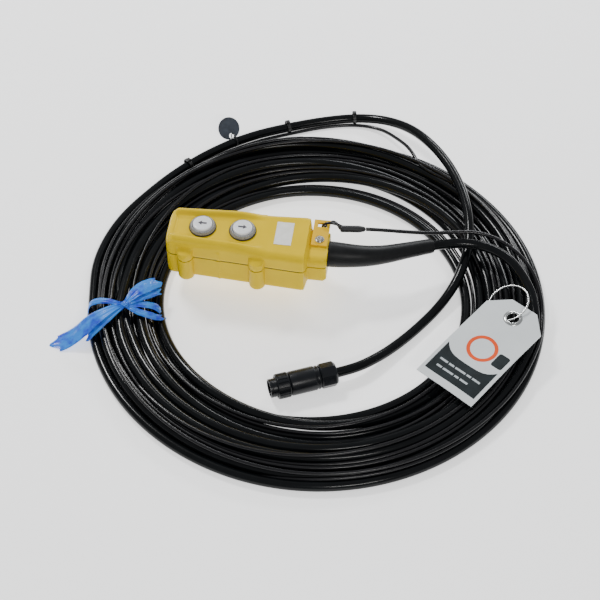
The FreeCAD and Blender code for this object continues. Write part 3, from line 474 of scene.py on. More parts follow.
def wound_turns():
    """Lets the turns settle: strands fall, keep their lanes and push each other apart."""
    draw = random.Random(11)
    # Each strand: its name, radius, first and last station, lanes, lift, and the ends that it joins.
    strands = [
        ("cable", CABLE_RADIUS, 0, 226, CABLE_LANES, 0.0, CABLE_LEAD[-1], CABLE_TAIL[0]),
        ("wire", WIRE_RADIUS, 0, 205, WIRE_LANES, 9.0, WIRE_LEAD[-1], WIRE_TAIL[0]),
        ("wire_again", WIRE_RADIUS, 20, 38, [0.8, 0.86, 0.93, 1.0], 26.0, WIRE_TAIL[-1], WIRE_END[0]),
    ]
    rows, members = [], {}   # each row is one strand at one station

    def add(r, z, goal, thick, where, before=-1, after=-1, loose=True):
        rows.append((r, z, goal, thick, where % STATIONS, before, after, loose))

    def add_end(point, thick):
        r, _, z = polar(point)
        add(r, z, r, thick, -1, loose=False)

    for name, thick, first, last, lanes, lift, start, end in strands:
        add_end(start, thick)
        sway, wobble, _ = (draw.uniform(0, 6.28) for _ in range(3))
        total = (last - first) / STATIONS
        members[name] = []
        for k in range(first, last + 1):
            angle, turns = station_angle(k), (k - first) / STATIONS
            inner = edge_radius(INNER_EDGE, angle) + CABLE_RADIUS
            outer = edge_radius(OUTER_EDGE, angle) - CABLE_RADIUS
            lane = lane_at(lanes, turns)
            lane += 0.05 * math.sin(turns * 3.9 + sway) + 0.04 * math.sin(turns * 8.3 + wobble)
            goal = inner + (outer - inner) * lane
            if name == "cable" and 3.5 < turns < 4.6:
                goal -= 13.0 * max(0.0, math.cos(angle - math.radians(82))) ** 3
            members[name].append((angle, len(rows)))
            z = FLOOR + thick + 3.4 * (total - turns) + lift
            add(goal, z, goal, thick, k, len(rows) - 1, len(rows) + 1)
        add_end(end, thick)
    obstacles = (crossings(CABLE_LEAD[4:], CABLE_RADIUS) + crossings(CABLE_TAIL[1:], CABLE_RADIUS)
                 + crossings(WIRE_LEAD[4:], WIRE_RADIUS) + crossings(WIRE_TAIL[1:], WIRE_RADIUS))
    for where, r, z, thick in obstacles:
        add(r, z, r, thick, where, loose=False)

    radius, height, aim, size, station, before, after, free = map(np.array, zip(*rows))
    movable = np.where(free)[0]
    thin = size < 3
    weight = np.where(thin, 5.0, 1.0) * free
    top = np.array([ceiling(station_angle(s)) for s in station]) + np.where(thin, 5.5, 0.0)
    solid = free.copy()
    solid[len(rows) - len(obstacles):] = True
    groups = [list(np.where(solid & (station == s))[0]) for s in range(STATIONS)]
    widest = max(len(g) for g in groups)
    table = np.array([g + [-1] * (widest - len(g)) for g in groups])
    real = table >= 0
    pair = real[:, :, None] & real[:, None, :] & ~np.eye(widest, dtype=bool)[None]
    spare, tiny, firm = 0.15, 1e-9, 0.45
    need = size[table][:, :, None] + size[table][:, None, :] + spare
    mine, other = weight[table][:, :, None], weight[table][:, None, :]
    share = mine / np.maximum(tiny, mine + other)

    def push_apart():
        dr = radius[table][:, :, None] - radius[table][:, None, :]
        dz = height[table][:, :, None] - height[table][:, None, :]
        gap = np.maximum(1e-6, np.hypot(dr, dz))
        press = np.where(pair, np.maximum(0.0, need - gap), 0.0) * share / gap * firm
        np.add.at(radius, table[real], (press * dr).sum(2)[real])
        np.add.at(height, table[real], (press * dz).sum(2)[real])
        low = FLOOR + size
        height[movable] = np.clip(height[movable], low[movable], np.maximum(low, top)[movable])

    rounds, pushes, last_pushes = 420, 5, 60
    first_pull, last_pull, fall, slowing = 0.05, 0.004, 0.22, 0.6
    for turn in range(rounds):
        calm = turn / rounds
        radius[movable] += (first_pull * (1 - calm) + last_pull) * (aim - radius)[movable]
        height[movable] -= fall * (1 - slowing * calm)
        for line, stiff in ((radius, 0.3), (height, 0.22)):
            bend = (line[before[movable]] + line[after[movable]]) / 2 - line[movable]
            line[movable] += stiff * bend
        for _ in range(pushes):
            push_apart()
    for _ in range(last_pushes):
        push_apart()

    runs = {}
    for name, places in members.items():
        runs[name] = []
        for angle, i in places:
            out = radius[i] / SPLINE_SHARE
            spot = COIL_CENTRE + Vector((out * math.cos(angle), out * math.sin(angle), 0))
            runs[name].append((spot.x, spot.y, height[i]))
    return runs


def cord_curve(name, points, radius, slot):
    """A round cord as one open quadratic NURBS spline."""
    curve = bpy.data.curves.new(name, "CURVE")
    curve.dimensions = "3D"
    spline = curve.splines.new("NURBS")
    spline.points.add(len(points) - 1)
    for spot, point in zip(spline.points, points):
        spot.co = (*(Vector(point) * MM), 1.0)
    spline.order_u = 3
    spline.use_endpoint_u = True
    spline.resolution_u = 8
    spline.use_smooth = True
    curve.bevel_depth = radius * MM
    curve.bevel_resolution = 6
    curve.use_fill_caps = True
    piece = put_in_scene(name, curve)
    curve.materials.append(finish[slot])
    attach(piece, "root")
    return piece


def centreline(piece):
    """Points along a cord's own spline, in millimetres."""
    curve = piece.data.copy()
    curve.bevel_depth = 0.0
    bare = put_in_scene("bare_line", curve)
    bpy.context.view_layer.update()
    graph = bpy.context.evaluated_depsgraph_get()
    mesh = bpy.data.meshes.new_from_object(bare.evaluated_get(graph))
    line = [v.co / MM for v in mesh.vertices]
    bpy.data.objects.remove(bare)
    bpy.data.curves.remove(curve)
    bpy.data.meshes.remove(mesh)
    return line


def along_line(line, distance):
    """Point and direction at a distance along a line."""
    for a, b in zip(line, line[1:]):
        run = (b - a).length
        if distance <= run and run > 0:
            return a.lerp(b, distance / run), (b - a).normalized()
        distance -= run


# ---- housing

def centre_of(node):
    low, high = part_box(node)
    return (low + high) / 2 / MM


COVER_LOW, COVER_HIGH = (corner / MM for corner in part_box("front_cover"))
CASE_LOW, CASE_HIGH = (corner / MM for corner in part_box("rear_case"))
FAR_END, NECK_END = COVER_LOW.x, COVER_HIGH.x
RIDGE_HEIGHT, WALL = 4.5, 2.3
FACE_LEVEL = COVER_HIGH.z - RIDGE_HEIGHT
NECK_LEVEL, NECK_FLOOR = 13.0, -20.0
BODY_END = FAR_END + 140.0
BOSSES = ((-60.0, 31.5), (12.0, 35.0))   # along X, and how far out each boss reaches
RIB = -26.0                              # along X, where a small rib stands on each side
BACK_RADIUS, NECK_RADIUS = 4.0, 1.6      # of the edges at the far end and at the neck's end


def fillet(distance, radius):
    """How much a rounded edge takes off at a distance from the end."""
    if distance >= radius:
        return 0.0
    return radius - math.sqrt(max(0.0, radius ** 2 - (radius - distance) ** 2))


def half_width(x):
    width = 22.0 + 8.0 * min(1.0, (x - FAR_END) / 136.0)
    width += (21.5 - width) * smooth_step(BODY_END - 2.0, BODY_END + 2.5, x)
    return width - fillet(x - FAR_END, 7.0) - fillet(NECK_END - x, NECK_RADIUS)


def side_reach(x, z):
    """Half width at a height, with the screw bosses and the small rib standing out."""
    width = half_width(x)
    radius, blend, sunk = 8.0, 3.0, 4.0
    for boss, reach in BOSSES:
        off = abs(x - boss)
        if off < radius + blend:
            dome = 1.0 - smooth_step(10.0, 14.5, z)
            out = reach - radius + math.sqrt(max(0.0, radius ** 2 - off ** 2)) - 0.4 * off * (off > radius)
            width = soft_max(width, width - sunk + (out - width + sunk) * dome, blend)
    rib = math.exp(-((x - RIB) / 0.9) ** 2) * (1.0 - smooth_step(12.0, 14.0, z))
    return width + 0.9 * rib


def stations_along():
    """Places along the housing, closer together at its ends, its bosses and its neck."""
    finest, dense, wide = 0.12, 0.55, 3.2
    spots, x = [], FAR_END
    close = [(FAR_END, 8.0), (NECK_END, 2.5), (BODY_END, 4.0), (RIB, 3.0)]
    close += [(boss, 11.0) for boss, _ in BOSSES]
    while x < NECK_END - 1e-6:
        spots.append(x)
        ends = min(x - FAR_END, NECK_END - x)
        if ends < 0.5:
            x += finest
        elif any(abs(x - place) < reach for place, reach in close):
            x += dense
        else:
            x += wide
    return spots + [NECK_END]


def side_wall(x, start, split, shares):
    """Points along a side to the split, where the edge draws in a little."""
    levels = [start + (split - start) * share for share in shares]
    return [(side_reach(x, z), z) for z in levels] + [(side_reach(x, split) - 0.35, split)]


def cover_section(x):
    """Half of the cover's section, from the middle of its face to the split."""
    width = half_width(x)
    ridge = smooth_step(FAR_END + 1.0, FAR_END + 8.0, x) * (1 - smooth_step(-12.0, 22.0, x))
    level = FACE_LEVEL + (NECK_LEVEL - FACE_LEVEL) * smooth_step(BODY_END - 1.6, BODY_END + 2.0, x)
    level -= fillet(x - FAR_END, BACK_RADIUS) + fillet(NECK_END - x, NECK_RADIUS)
    lip = 1.9 * smooth_step(FAR_END + 0.5, FAR_END + 3.0, x)
    lip *= 1 - smooth_step(FAR_END + 5.0, FAR_END + 8.5, x)
    crest = width - (6.6 - 1.4 * ridge)
    points = []
    for share in (0, 0.15, 0.3, 0.45, 0.58, 0.68, 0.74, 0.79, 0.83, 0.87, 0.91, 0.95, 1.0):
        y = crest * share
        rise = max(lip, RIDGE_HEIGHT * ridge * smooth_step(crest - 5.2, crest - 0.6, y))
        points.append((y, level + rise))
    edge = points[-1][1]
    drop = min(7.0 + 3.0 * ridge, edge - 3.5)
    for i in range(1, 9):
        angle = math.pi / 2 * i / 8
        z = edge - drop + drop * math.cos(angle)
        points.append((crest + (side_reach(x, z) - crest) * math.sin(angle), z))
    return points + side_wall(x, edge - drop, COVER_LOW.z, (0.06, 0.14, 0.24, 0.36, 0.5, 0.66, 0.82, 0.94))


def case_section(x):
    """Half of the rear case's section, from the middle of its back to the split."""
    level = CASE_LOW.z + (NECK_FLOOR - CASE_LOW.z) * smooth_step(BODY_END - 1.6, BODY_END + 2.0, x)
    level += fillet(x - FAR_END, BACK_RADIUS) + fillet(NECK_END - x, NECK_RADIUS)
    corner = 5.0
    foot = side_reach(x, level)
    points = [((foot - corner) * share, level) for share in (0, 0.2, 0.4, 0.6, 0.8, 0.92, 1.0)]
    for i in range(1, 8):
        angle = math.pi / 2 * i / 7
        points.append((foot - corner + corner * math.sin(angle), level + corner - corner * math.cos(angle)))
    return points + side_wall(x, level + corner, CASE_HIGH.z, (0.1, 0.25, 0.4, 0.55, 0.7, 0.85, 0.95, 0.985))


def shell_mesh(section):
    """Skins one shell from its sections and closes its two ends."""
    points, spots = [], stations_along()
    for x in spots:
        half = section(x)
        points += [(x, -y, z) for y, z in reversed(half[1:])] + [(x, y, z) for y, z in half]
    count = len(points) // len(spots)
    last = len(points) - count
    faces = net(len(spots), count)
    faces.append(tuple(range(count)))
    faces.append(tuple(range(last + count - 1, last - 1, -1)))
    mesh = mesh_from(points, faces, 40.0)
    if sum(face.normal.dot(face.center) * face.area for face in mesh.polygons) < 0:
        mesh.flip_normals()
    return mesh


def shell(name, node, section, bars):
    """One half of the housing: skinned, given its wall, and then its holes."""
    piece = new_piece(name, shell_mesh(section), "housing", node)
    modifier(piece, "SOLIDIFY", "wall", thickness=WALL * MM, offset=-1.0)
    cut(piece, bars, 40.0, use_self=True)


def housing():
    opening, sink, bore, inset, upward = 11.72, 4.0, 9.45, 6.0, (0, 0, 1)
    openings = [((centre_of(f"{label}_bezel_ring").x, 0, FACE_LEVEL), upward, opening, 14.0)
                for label in ("down", "up")]
    neck_bore = ((NECK_END - 6, 0, 0), (1, 0, 0), bore, 24.0)
    shell("cover_shell", "front_cover", cover_section, openings + [neck_bore])
    sinks = [((x, side * (reach - inset), CASE_LOW.z), upward, sink, 7.0)
             for x, reach in BOSSES for side in (-1, 1)]
    shell("case_shell", "rear_case", case_section, sinks + [neck_bore])


# ---- push buttons

def arrow_mesh(middle, level, pointing):
    """A plain arrow, a little proud of the cap."""
    length, shaft, head, head_length, proud, sunk = 8.6, 1.0, 2.7, 3.6, 0.16, 0.3
    front, rear, neck = length / 2, -length / 2, length / 2 - head_length
    outline = [(rear, -shaft), (neck, -shaft), (neck, -head), (front, 0), (neck, head), (neck, shaft),
               (rear, shaft)]
    outline = [(middle.x + pointing * x, middle.y + pointing * y) for x, y in outline]
    count = len(outline)
    points = [(x, y, z) for z in (level - sunk, level + proud) for x, y in outline]
    faces = [tuple(range(count - 1, -1, -1)), tuple(range(count, 2 * count))]
    faces += [(i, (i + 1) % count, count + (i + 1) % count, count + i) for i in range(count)]
    return mesh_from(points, faces)


def knurled(radius, height, angle):
    """Fine grip teeth round the bezel's sloping flank."""
    teeth, depth = 60, 0.17
    if radius < 10.4 or height < FACE_LEVEL + 1.4 or height > FACE_LEVEL + 4.2:
        return radius
    return radius + depth * math.cos(teeth * angle)


def push_button(label, pointing):
    middle = centre_of(f"{label}_bezel_ring")
    spot = Matrix.Translation((middle.x, middle.y, 0))
    face, low = FACE_LEVEL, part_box(f"{label}_bezel_ring")[0].z / MM
    ring = rounded([(10.3, low), (11.65, low), (11.65, face), (12.9, face), (12.9, face + 1.6),
                    (12.4, face + 2.6), (11.5, face + 4.4), (10.6, face + 4.6), (10.3, face + 4.2),
                    (10.3, low)], 0.4)
    turned(f"{label}_bezel", "bezel_grey", f"{label}_bezel_ring", ring, spot, 360, knurled)
    # A thin black ring, with no CAD part of its own, shows round the foot of each bezel and gives it a dark
    # rim where it meets the face.
    dark_ring = rounded([(12.0, face + 0.02), (13.5, face + 0.02), (13.5, face + 1.2), (12.95, face + 1.5),
                    (12.0, face + 1.5), (12.0, face + 0.02)], 0.35)
    turned(f"{label}_bezel_dark_ring", "gasket_rubber", None, dark_ring, spot)
    foot, top = (corner.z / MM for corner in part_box(f"{label}_button_cap"))
    crown = [(0, foot), (9.7, foot), (9.8, foot + 0.3), (9.8, top - 1.5), (9.6, top - 0.9),
             (9.1, top - 0.4), (8.2, top - 0.22), (5.5, top - 0.2), (0, top - 0.2)]
    turned(f"{label}_cap", "button_white", f"{label}_button_cap", crown, spot)
    new_piece(f"{label}_arrow", arrow_mesh(middle, top - 0.2, pointing), "button_white",
              body=body_of_node[f"{label}_button_cap"], look="arrow_ink")


def soft_inside(label):
    """The return spring and the rubber boot, each copied into a piece with a mesh of its own."""
    for node, keep in ((f"{label}_return_spring", 0.48), (f"{label}_boot", 0.41)):
        mesh = frame["nodes"][node].data.copy()
        mesh.materials.clear()
        piece = new_piece(node + "_soft", mesh, slot_of[node], node)
        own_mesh(piece)


# ---- label, anchor and neck

def waves(x, y, seed):
    """A smooth wrinkle between -1 and 1."""
    swell = math.sin(0.55 * x + seed) * math.cos(0.41 * y + 2.1 * seed)
    slant = 0.6 * math.sin(0.9 * x - 0.7 * y + 3.7 * seed)
    return (swell + slant + 0.4 * math.sin(1.7 * y + 0.5 * x + seed)) / 2.0


def grid_sheet(across, along, spot_at, thick):
    """A thin closed sheet over a grid. spot_at(u, v) gives a top point for u and v from 0 to 1."""
    row = across + 1
    top = [Vector(spot_at(j / across, i / along)) for i in range(along + 1) for j in range(row)]
    count = len(top)
    points = top + [point - Vector((0, 0, thick)) for point in top]
    faces = []
    for face in net(along + 1, row):
        faces += [face, tuple(count + k for k in reversed(face))]
    rim = list(range(row)) + [i * row + across for i in range(1, along + 1)]
    rim += [along * row + j for j in range(across - 1, -1, -1)] + [i * row for i in range(along - 1, 0, -1)]
    for a, b in zip(rim, rim[1:] + rim[:1]):
        faces.append((a, b, count + b, count + a))
    return mesh_from(points, faces, 60.0)


def label_sheet():
    low, high = (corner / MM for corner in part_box("label_plate"))

    def spot_at(u, v):
        x, y = low.x + (high.x - low.x) * u, low.y + (high.y - low.y) * v
        return x, y, FACE_LEVEL + 0.28 + 0.14 * waves(x, y, 1.3)

    new_piece("label_sheet", grid_sheet(24, 34, spot_at, 0.12), "label_white", "label_plate")


def neck_fittings():
    bevel(frame["nodes"]["wire_anchor"], 0.5, 3)
    for node in ("anchor_washer", "anchor_screw", "end_ferrule", "disc_tag", "plug_insert"):
        bevel(frame["nodes"][node])
    start = Vector((89, 22, 14.4))
    way = Vector(WIRE_LEAD[0]) - start
    barrel = rounded([(0, 0), (2.9, 0), (3.5, 1.2), (3.4, 9), (3.5, 18), (3.2, 20.5), (2.3, 24.5),
                      (0, way.length - 0.2)], 0.6)
    return turned("wire_ferrule_sleeve", "ferrule_black", "wire_ferrule", barrel, axis_place(start, way), 48)


# Radius of the sleeve at each share of its length.
SLEEVE_RADII = [(0.0, 12.9), (0.03, 12.9), (0.12, 12.4), (0.3, 10.9), (0.5, 9.4), (0.75, 8.2), (0.97, 7.4),
                (1.0, 6.9)]


def sleeve_radius(share):
    for (a, r), (b, q) in zip(SLEEVE_RADII, SLEEVE_RADII[1:]):
        if share <= b:
            return r + (q - r) * (share - a) / (b - a)


def cable_sleeve(line):
    """A closed round sleeve that follows the cable's own line."""
    length, count, segments = 109.0, 73, 56
    points, side = [], None
    for i in range(count + 1):
        spot, way = along_line(line, length * i / count)
        side = way.orthogonal() if side is None else side - way * side.dot(way)
        side.normalize()
        other, radius = way.cross(side), sleeve_radius(i / count)
        points += [spot + (side * c + other * s) * radius for _, c, s in circle(segments)]
    faces = net(count + 1, segments, columns_close=True)
    faces.append(tuple(range(segments - 1, -1, -1)))
    faces.append(tuple(range(count * segments, (count + 1) * segments)))
    return new_piece("rubber_sleeve", mesh_from(points, faces), "sleeve_rubber", "cable_sleeve")


# ---- plug

def plug_place():
    rear, before = Vector(CABLE_TAIL[-1]), Vector(CABLE_TAIL[-2])
    heading = Vector((rear.x - before.x, rear.y - before.y, 0)).normalized()
    side = Vector((0, 0, 1)).cross(heading)
    turn = Matrix((side, Vector((0, 0, 1)), heading)).transposed().to_4x4()
    return Matrix.Translation(rear) @ turn


def flats(radius, height, angle):
    """Eight broad finger flats on the gland nut."""
    if height < 1.8 or height > 15.6 or radius < 9.5:
        return radius
    sector, roundness = 2 * math.pi / 8, 0.15
    off = (angle % sector) - sector / 2
    flat = radius * math.cos(sector / 2) / math.cos(off)
    return flat + (radius - flat) * roundness


def pads(radius, height, angle):
    """Raised grip pads round the coupling nut."""
    if height < 48.6 or height > 58.8 or radius < 11.0:
        return radius
    count, depth, edge = 20, 0.75, 0.15
    wave = math.cos(count * angle)
    return radius - depth * smooth_step(edge, -0.35, wave) if wave < edge else radius


def plug():
    """The gland nut, the body and the coupling nut, turned from (radius, height) outlines."""
    place = plug_place()
    gland = rounded([(5.4, 0.2), (9.8, 0.2), (12.4, 2.6), (12.4, 15.2), (11.0, 16.9), (8.1, 16.9),
                     (8.1, 4.0), (5.4, 4.0), (5.4, 0.2)], 0.7)
    body = rounded([(6.5, 10.2), (8.0, 10.2), (8.0, 17.2), (10.9, 17.2), (10.9, 18.2), (11.6, 18.2),
                    (11.6, 19.8), (11.0, 19.8), (11.0, 20.8), (12.0, 21.8), (12.0, 45.8), (11.2, 47.0),
                    (9.9, 47.0), (9.9, 51.0), (9.2, 51.0), (9.2, 63.6), (8.9, 63.6), (8.9, 64.3),
                    (9.2, 64.3), (9.2, 67.0), (7.9, 67.0), (7.9, 58.0), (7.4, 58.0), (7.4, 43.0),
                    (6.5, 43.0), (6.5, 10.2)], 0.35)
    nut = rounded([(9.95, 47.3), (11.6, 47.3), (12.4, 48.3), (12.4, 48.8), (12.4, 58.6), (12.4, 59.1),
                   (11.5, 60.2), (9.95, 60.2), (9.95, 47.3)], 0.4)
    return [turned("gland_grip", "plug_plastic", "gland_nut", gland, place, 192, flats, 28.0),
            turned("plug_body", "plug_plastic", "plug_shell", body, place),
            turned("coupling_grip", "plug_plastic", "coupling_nut", nut, place, 360, pads, 30.0),
            "gland_seal", "plug_insert", "contact_sockets", "plug_cable_end"]


# ---- instruction tag

CARD_LENGTH, CARD_WIDTH, CARD_CHAMFER, CARD_THICK = 126.0, 66.0, 18.0, 0.7
CARD_PLACE = (Matrix.Translation((277.2, -27.0, -19.1)) @ Matrix.Rotation(math.radians(-124.4), 4, "Z")
              @ Matrix.Rotation(math.radians(3.0), 4, "Y"))
EYELET_AT, EYELET_HOLE = 19.0, 6.6       # along the card, and the radius of its hole


def card_lift(x, y):
    """How far the laminated card bows out of its plane."""
    return 0.9 * math.sin(math.pi * x / CARD_LENGTH) + 0.35 * math.sin(0.06 * x + 0.11 * y)


def on_card(x, y, above=0.0):
    return CARD_PLACE @ Vector((x, y, card_lift(x, y) + CARD_THICK + above))


def card_mesh():
    def spot_at(u, v):
        x = CARD_LENGTH * v
        half = CARD_WIDTH / 2 - max(0.0, CARD_CHAMFER - x)
        return on_card(x, half * (2 * u - 1))

    return grid_sheet(44, 84, spot_at, CARD_THICK)


def print_piece(name, mesh, look):
    new_piece(name, mesh, "tag_card", body=body_of_node["instruction_tag"], look=look)


def printed(name, outline, look, above=0.08):
    """A printed shape: its outline is filled, divided finely and laid on the card."""
    form = bmesh.new()
    corners = [form.verts.new((x, y, 0)) for x, y in outline]
    for triangle in tessellate_polygon([[Vector((x, y, 0)) for x, y in outline]]):
        form.faces.new([corners[k] for k in triangle])
    rounds, longest = 6, 4.0
    for _ in range(rounds):
        long = [edge for edge in form.edges if edge.calc_length() > longest]
        bmesh.ops.subdivide_edges(form, edges=long, cuts=1)
        bmesh.ops.triangulate(form, faces=form.faces)
    bmesh.ops.recalc_face_normals(form, faces=form.faces)
    if sum(face.normal.z for face in form.faces) < 0:
        bmesh.ops.reverse_faces(form, faces=form.faces)
    for vertex in form.verts:
        vertex.co = on_card(vertex.co.x, vertex.co.y, above) * MM
    print_piece(name, mesh_of(form), look)


def printed_ring():
    centre, outer, inner, steps = 67.0, 15.5, 11.8, 96
    points = [on_card(centre + radius * c, radius * s, 0.07)
              for _, c, s in circle(steps) for radius in (inner, outer)]
    print_piece("printed_ring", mesh_from(points, net(steps, 2, rows_close=True)), "print_orange")


def round_block(x, y, half_x, half_y, corner):
    """Outline of a rectangle with round corners."""
    out, steps = [], 5
    for sx, sy, first in ((1, 1, 0), (-1, 1, 90), (-1, -1, 180), (1, -1, 270)):
        for i in range(steps + 1):
            angle = math.radians(first + 90 * i / steps)
            out.append((x + sx * (half_x - corner) + corner * math.cos(angle),
                        y + sy * (half_y - corner) + corner * math.sin(angle)))
    return out


def printed_marks():
    """Plain marks in place of lettering: a ring, a band with a curved top, a block and rows of bars."""
    printed_ring()
    foot, top, rise, edge, steps = 118.0, 91.0, 10.0, 29.5, 24
    band = [(foot, -edge), (foot, edge)]
    for i in range(steps + 1):
        y = edge * (1 - 2 * i / steps)
        band.append((top - rise * (y / edge) ** 4, y))
    printed("printed_band", band, "print_black")
    printed("printed_block", round_block(68.5, 23.0, 8.5, 6.2, 2.5), "print_black")
    lengths, half_high, space = (9.0, 6.0, 12.0, 5.0), 1.1, 1.6
    for row, (x, first, last) in enumerate(((101.0, -24.0, 25.0), (109.0, -22.0, 18.0))):
        y, number = first, 0
        while y < last - 3.0:
            end = min(last, y + lengths[(number + row) % len(lengths)])
            bar = [(x - half_high, y), (x + half_high, y), (x + half_high, end), (x - half_high, end)]
            printed(f"printed_bar_{row}_{number}", bar, "print_grey", 0.14)
            y, number = end + space, number + 1


def instruction_tag():
    card = new_piece("tag_sheet", card_mesh(), "tag_card", "instruction_tag")
    square_to_card = CARD_PLACE.to_3x3() @ Vector((0, 0, 1))
    cut(card, [(on_card(EYELET_AT, 0.0), square_to_card, EYELET_HOLE, 12.0)], 60.0)
    seat = card_lift(EYELET_AT, 0.0)
    flange = [(5.8, 0), (5.85, 1.3), (6.2, 1.75), (7.0, 1.9), (8.4, 1.5), (9.3, 0.95), (9.4, 0.7),
              (9.3, -0.1), (8.4, -0.5), (6.4, -0.6), (5.9, -0.4), (5.8, 0)]
    flange = [(radius, seat + height) for radius, height in flange]
    spot = CARD_PLACE @ Matrix.Translation((EYELET_AT, 0, 0))
    rim = turned("eyelet", "polished_steel", "tag_eyelet", flange, spot, smooth_angle=70.0)
    printed_marks()
    ring_radius, wire_radius = 20.5, 0.9
    section = [(ring_radius + wire_radius * c, wire_radius * s) for _, c, s in circle(16)]
    lean = Matrix.Rotation(math.radians(24), 4, Vector((5.5, -19.8, 0)).normalized())
    spot = Matrix.Translation((261, -22.9, -19.7)) @ lean
    loop = turned("split_ring", "polished_steel", "tag_ring", section + section[:1], spot, 160,
                  smooth_angle=80.0)
    return [card, rim, loop]


# ---- ties and tape

def tie(spot, heading):
    """A pulled nylon tie: a round-cornered band and its head."""
    heading = Vector((heading.x, heading.y, 0)).normalized()
    side, up = Vector((-heading.y, heading.x, 0)), Vector((0, 0, 1))
    half_wide, half_high, depth, thick, power, steps = 6.9, 6.15, 3.4, 1.0, 2.6, 48
    head_length, head_width, head_height, head_sunk = 4.2, 4.0, 2.6, 0.6
    points = []
    for _, c, s in circle(steps):
        y = math.copysign(abs(c) ** (2 / power), c)
        z = math.copysign(abs(s) ** (2 / power), s)
        for inset, along in ((0, -depth / 2), (0, depth / 2), (thick, depth / 2), (thick, -depth / 2)):
            points.append(spot + side * y * (half_wide - inset) + up * z * (half_high - inset)
                          + heading * along)
    head = [spot + heading * x * head_length / 2 + side * y * head_width / 2
            + up * (half_high - head_sunk + head_height * z)
            for x in (-1, 1) for y in (-1, 1) for z in (0, 1)]
    sides = [(0, 1, 3, 2), (4, 6, 7, 5), (0, 4, 5, 1), (2, 3, 7, 6), (0, 2, 6, 4), (1, 5, 7, 3)]
    return joined([(points, net(steps, 4, rows_close=True, columns_close=True)), (head, sides)])


def cable_ties():
    ties = []
    for first, share in ((5, 0.36), (7, 0.92), (9, 0.84)):
        start, end = Vector(CABLE_TAIL[first]), Vector(CABLE_TAIL[first + 1])
        ties.append(tie(start.lerp(end, share) + Vector((0, 0, 1.2)), end - start))
    piece = new_piece("nylon_ties", mesh_from(*joined(ties)), "tie_nylon", "cable_ties")
    bevel(piece, 0.35)
    return piece


def spline_at(values, share):
    """Catmull-Rom value along a list, for points or numbers."""
    place = share * (len(values) - 1)
    i = min(int(place), len(values) - 2)
    t = place - i
    p0, p1, p2, p3 = (values[max(0, min(len(values) - 1, k))] for k in (i - 1, i, i + 1, i + 2))
    return (p1 * 2 + (p2 - p0) * t + (p0 * 2 - p1 * 5 + p2 * 4 - p3) * t * t
            + (p1 * 3 - p0 - p2 * 3 + p3) * t ** 3) * 0.5


KNOT = Vector((-113.0, -72.0, -24.0))
# Each strip of tape: its middle line beyond the knot, its width from the knot on, and how ragged it ends.
STRIPS = [
    ([(-121, -71, -24.0), (-132, -69.5, -23.5), (-143, -69, -26), (-150.5, -69, -33),
      (-153.5, -69, -49.5)],
     [3.6, 5.0, 6.5, 7.5, 8.0, 8.0], 0.0),
    ([(-106, -70.5, -24.5), (-97, -68, -25), (-88, -65.5, -27.5), (-79.5, -64, -35),
      (-78, -63, -49.5)],
     [3.6, 6.0, 8.0, 9.0, 9.5, 9.5], 0.0),
    ([(-107, -74.5, -24.5), (-99, -77, -25.5), (-89, -78, -27), (-81, -77.5, -30), (-75.5, -75, -33)],
     [3.6, 5.5, 7.0, 8.0, 8.0, 7.0], 0.3),
    ([(-121, -78, -22.0), (-131, -86.5, -22.5), (-142, -94, -27), (-152, -100, -35),
      (-162, -104.5, -43), (-171, -108, -47.5), (-178, -110.5, -49)],
     [4.0, 8.0, 13.0, 17.0, 19.5, 20.5, 21.0, 20.0], 1.0),
    ([(-118.5, -80.5, -23.0), (-125, -89, -24.0), (-132, -96, -27), (-139, -102, -32),
      (-145, -106.5, -38)],
     [4.0, 6.0, 7.5, 8.5, 9.0, 8.0], 0.6),
    ([(-109, -65, -21.5), (-104, -57, -20), (-98, -49, -21), (-92, -42, -23), (-86, -36, -26)],
     [4.5, 8.5, 13.0, 16.0, 16.0, 14.0], 0.5),
    ([(-106, -67, -23), (-98, -60, -23), (-90, -53, -24.5), (-83, -46, -27.5)],
     [4.0, 6.5, 8.5, 9.5, 9.0], 0.5),
]


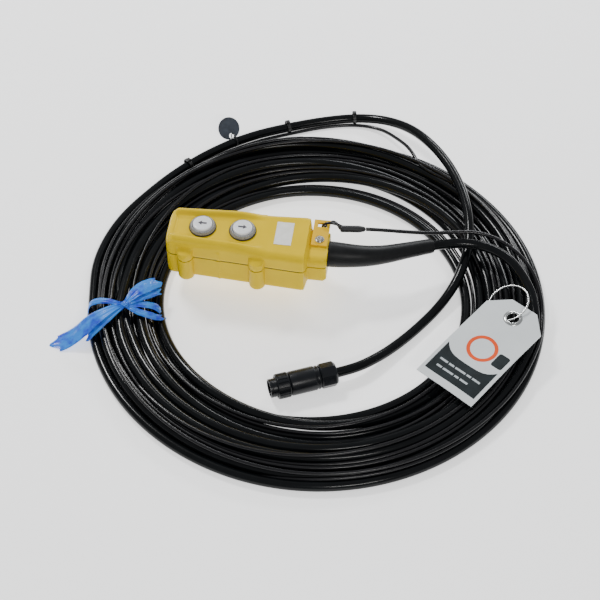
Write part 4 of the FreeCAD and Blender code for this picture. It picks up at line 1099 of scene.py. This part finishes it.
def tape_strip(path, widths, ragged, seed):
    """One crinkled strip: gathered at the knot and flat further out."""
    path = [KNOT] + [Vector(p) for p in path]
    along, across, torn, bite, folds, near = 44, 12, 0.82, 5.0, 2.6, 0.01
    points = []
    for i in range(along + 1):
        share = i / along
        spot = spline_at(path, share)
        ahead = spline_at(path, min(1.0, share + near)) - spline_at(path, max(0.0, share - near))
        ahead.normalize()
        side = Vector((0, 0, 1)).cross(ahead)
        side.normalize()
        up = ahead.cross(side)
        wide = spline_at(widths, share)
        gathered = math.exp(-5.0 * share)
        for j in range(across + 1):
            off = j / across - 0.5
            fold = (0.9 * gathered + 0.22) * math.cos(2 * math.pi * (folds * off) + seed)
            crease = 0.35 * waves(14 * share * 3, 10 * off, seed)
            end_cut = 0.0
            if ragged and share > torn:
                end_cut = ragged * bite * (share - torn) / (1 - torn) * math.sin(7.5 * off + 2.3 * seed)
            droop = -1.2 * (2 * off) ** 2 * smooth_step(0.15, 0.6, share)
            point = spot + side * wide * off + up * (fold + crease + droop) + ahead * end_cut
            point.z = max(point.z, FLOOR + 0.25)
            points.append(point)
    return points, net(along + 1, across + 1)


def tape():
    """The strips of film, and the crumpled knot that they spread from."""
    points, faces = joined(tape_strip(*strip, 1.0 + 1.7 * number) for number, strip in enumerate(STRIPS))
    strips = new_piece("blue_tape", mesh_from(points, faces, 80.0), "blue_tape", "ribbon")
    modifier(strips, "SOLIDIFY", "film", thickness=0.18 * MM, offset=0.0)
    knot = bmesh.new()
    bmesh.ops.create_icosphere(knot, subdivisions=4, radius=1.0)
    for vertex in knot.verts:
        n = vertex.co.normalized()
        crumple = 1 + 0.16 * math.sin(7 * n.x + 3 * n.y) * math.cos(6 * n.y + 4 * n.z)
        crumple += 0.07 * math.sin(17 * n.x * n.y + 9 * n.z)
        vertex.co = (KNOT + Vector((n.x * 4.4, n.y * 4.0, n.z * 2.9 + 0.4)) * crumple) * MM
    return strips, new_piece("tape_knot", mesh_of(knot, 80.0), "blue_tape")


# ---- make

add_camera()
dress_cad_nodes()
add_stage()
runs = wound_turns()
cable = cord_curve("control_cable", CABLE_LEAD + runs["cable"] + CABLE_TAIL, CABLE_RADIUS, "cable_jacket")
wire = cord_curve("suspension_wire", WIRE_LEAD + runs["wire"] + WIRE_TAIL + runs["wire_again"] + WIRE_END,
                  WIRE_RADIUS, "coated_wire")
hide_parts("cord_lead", "cord_tail", "cord_coil")
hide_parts("wire_lead", "wire_tail", "wire_end")

housing()
for label, pointing in (("down", -1), ("up", 1)):
    push_button(label, pointing)
    soft_inside(label)
label_sheet()
ferrule = neck_fittings()
sleeve = cable_sleeve(centreline(cable))
plug_pieces = plug()
tag_pieces = instruction_tag()
ties = cable_ties()
strips, knot = tape()
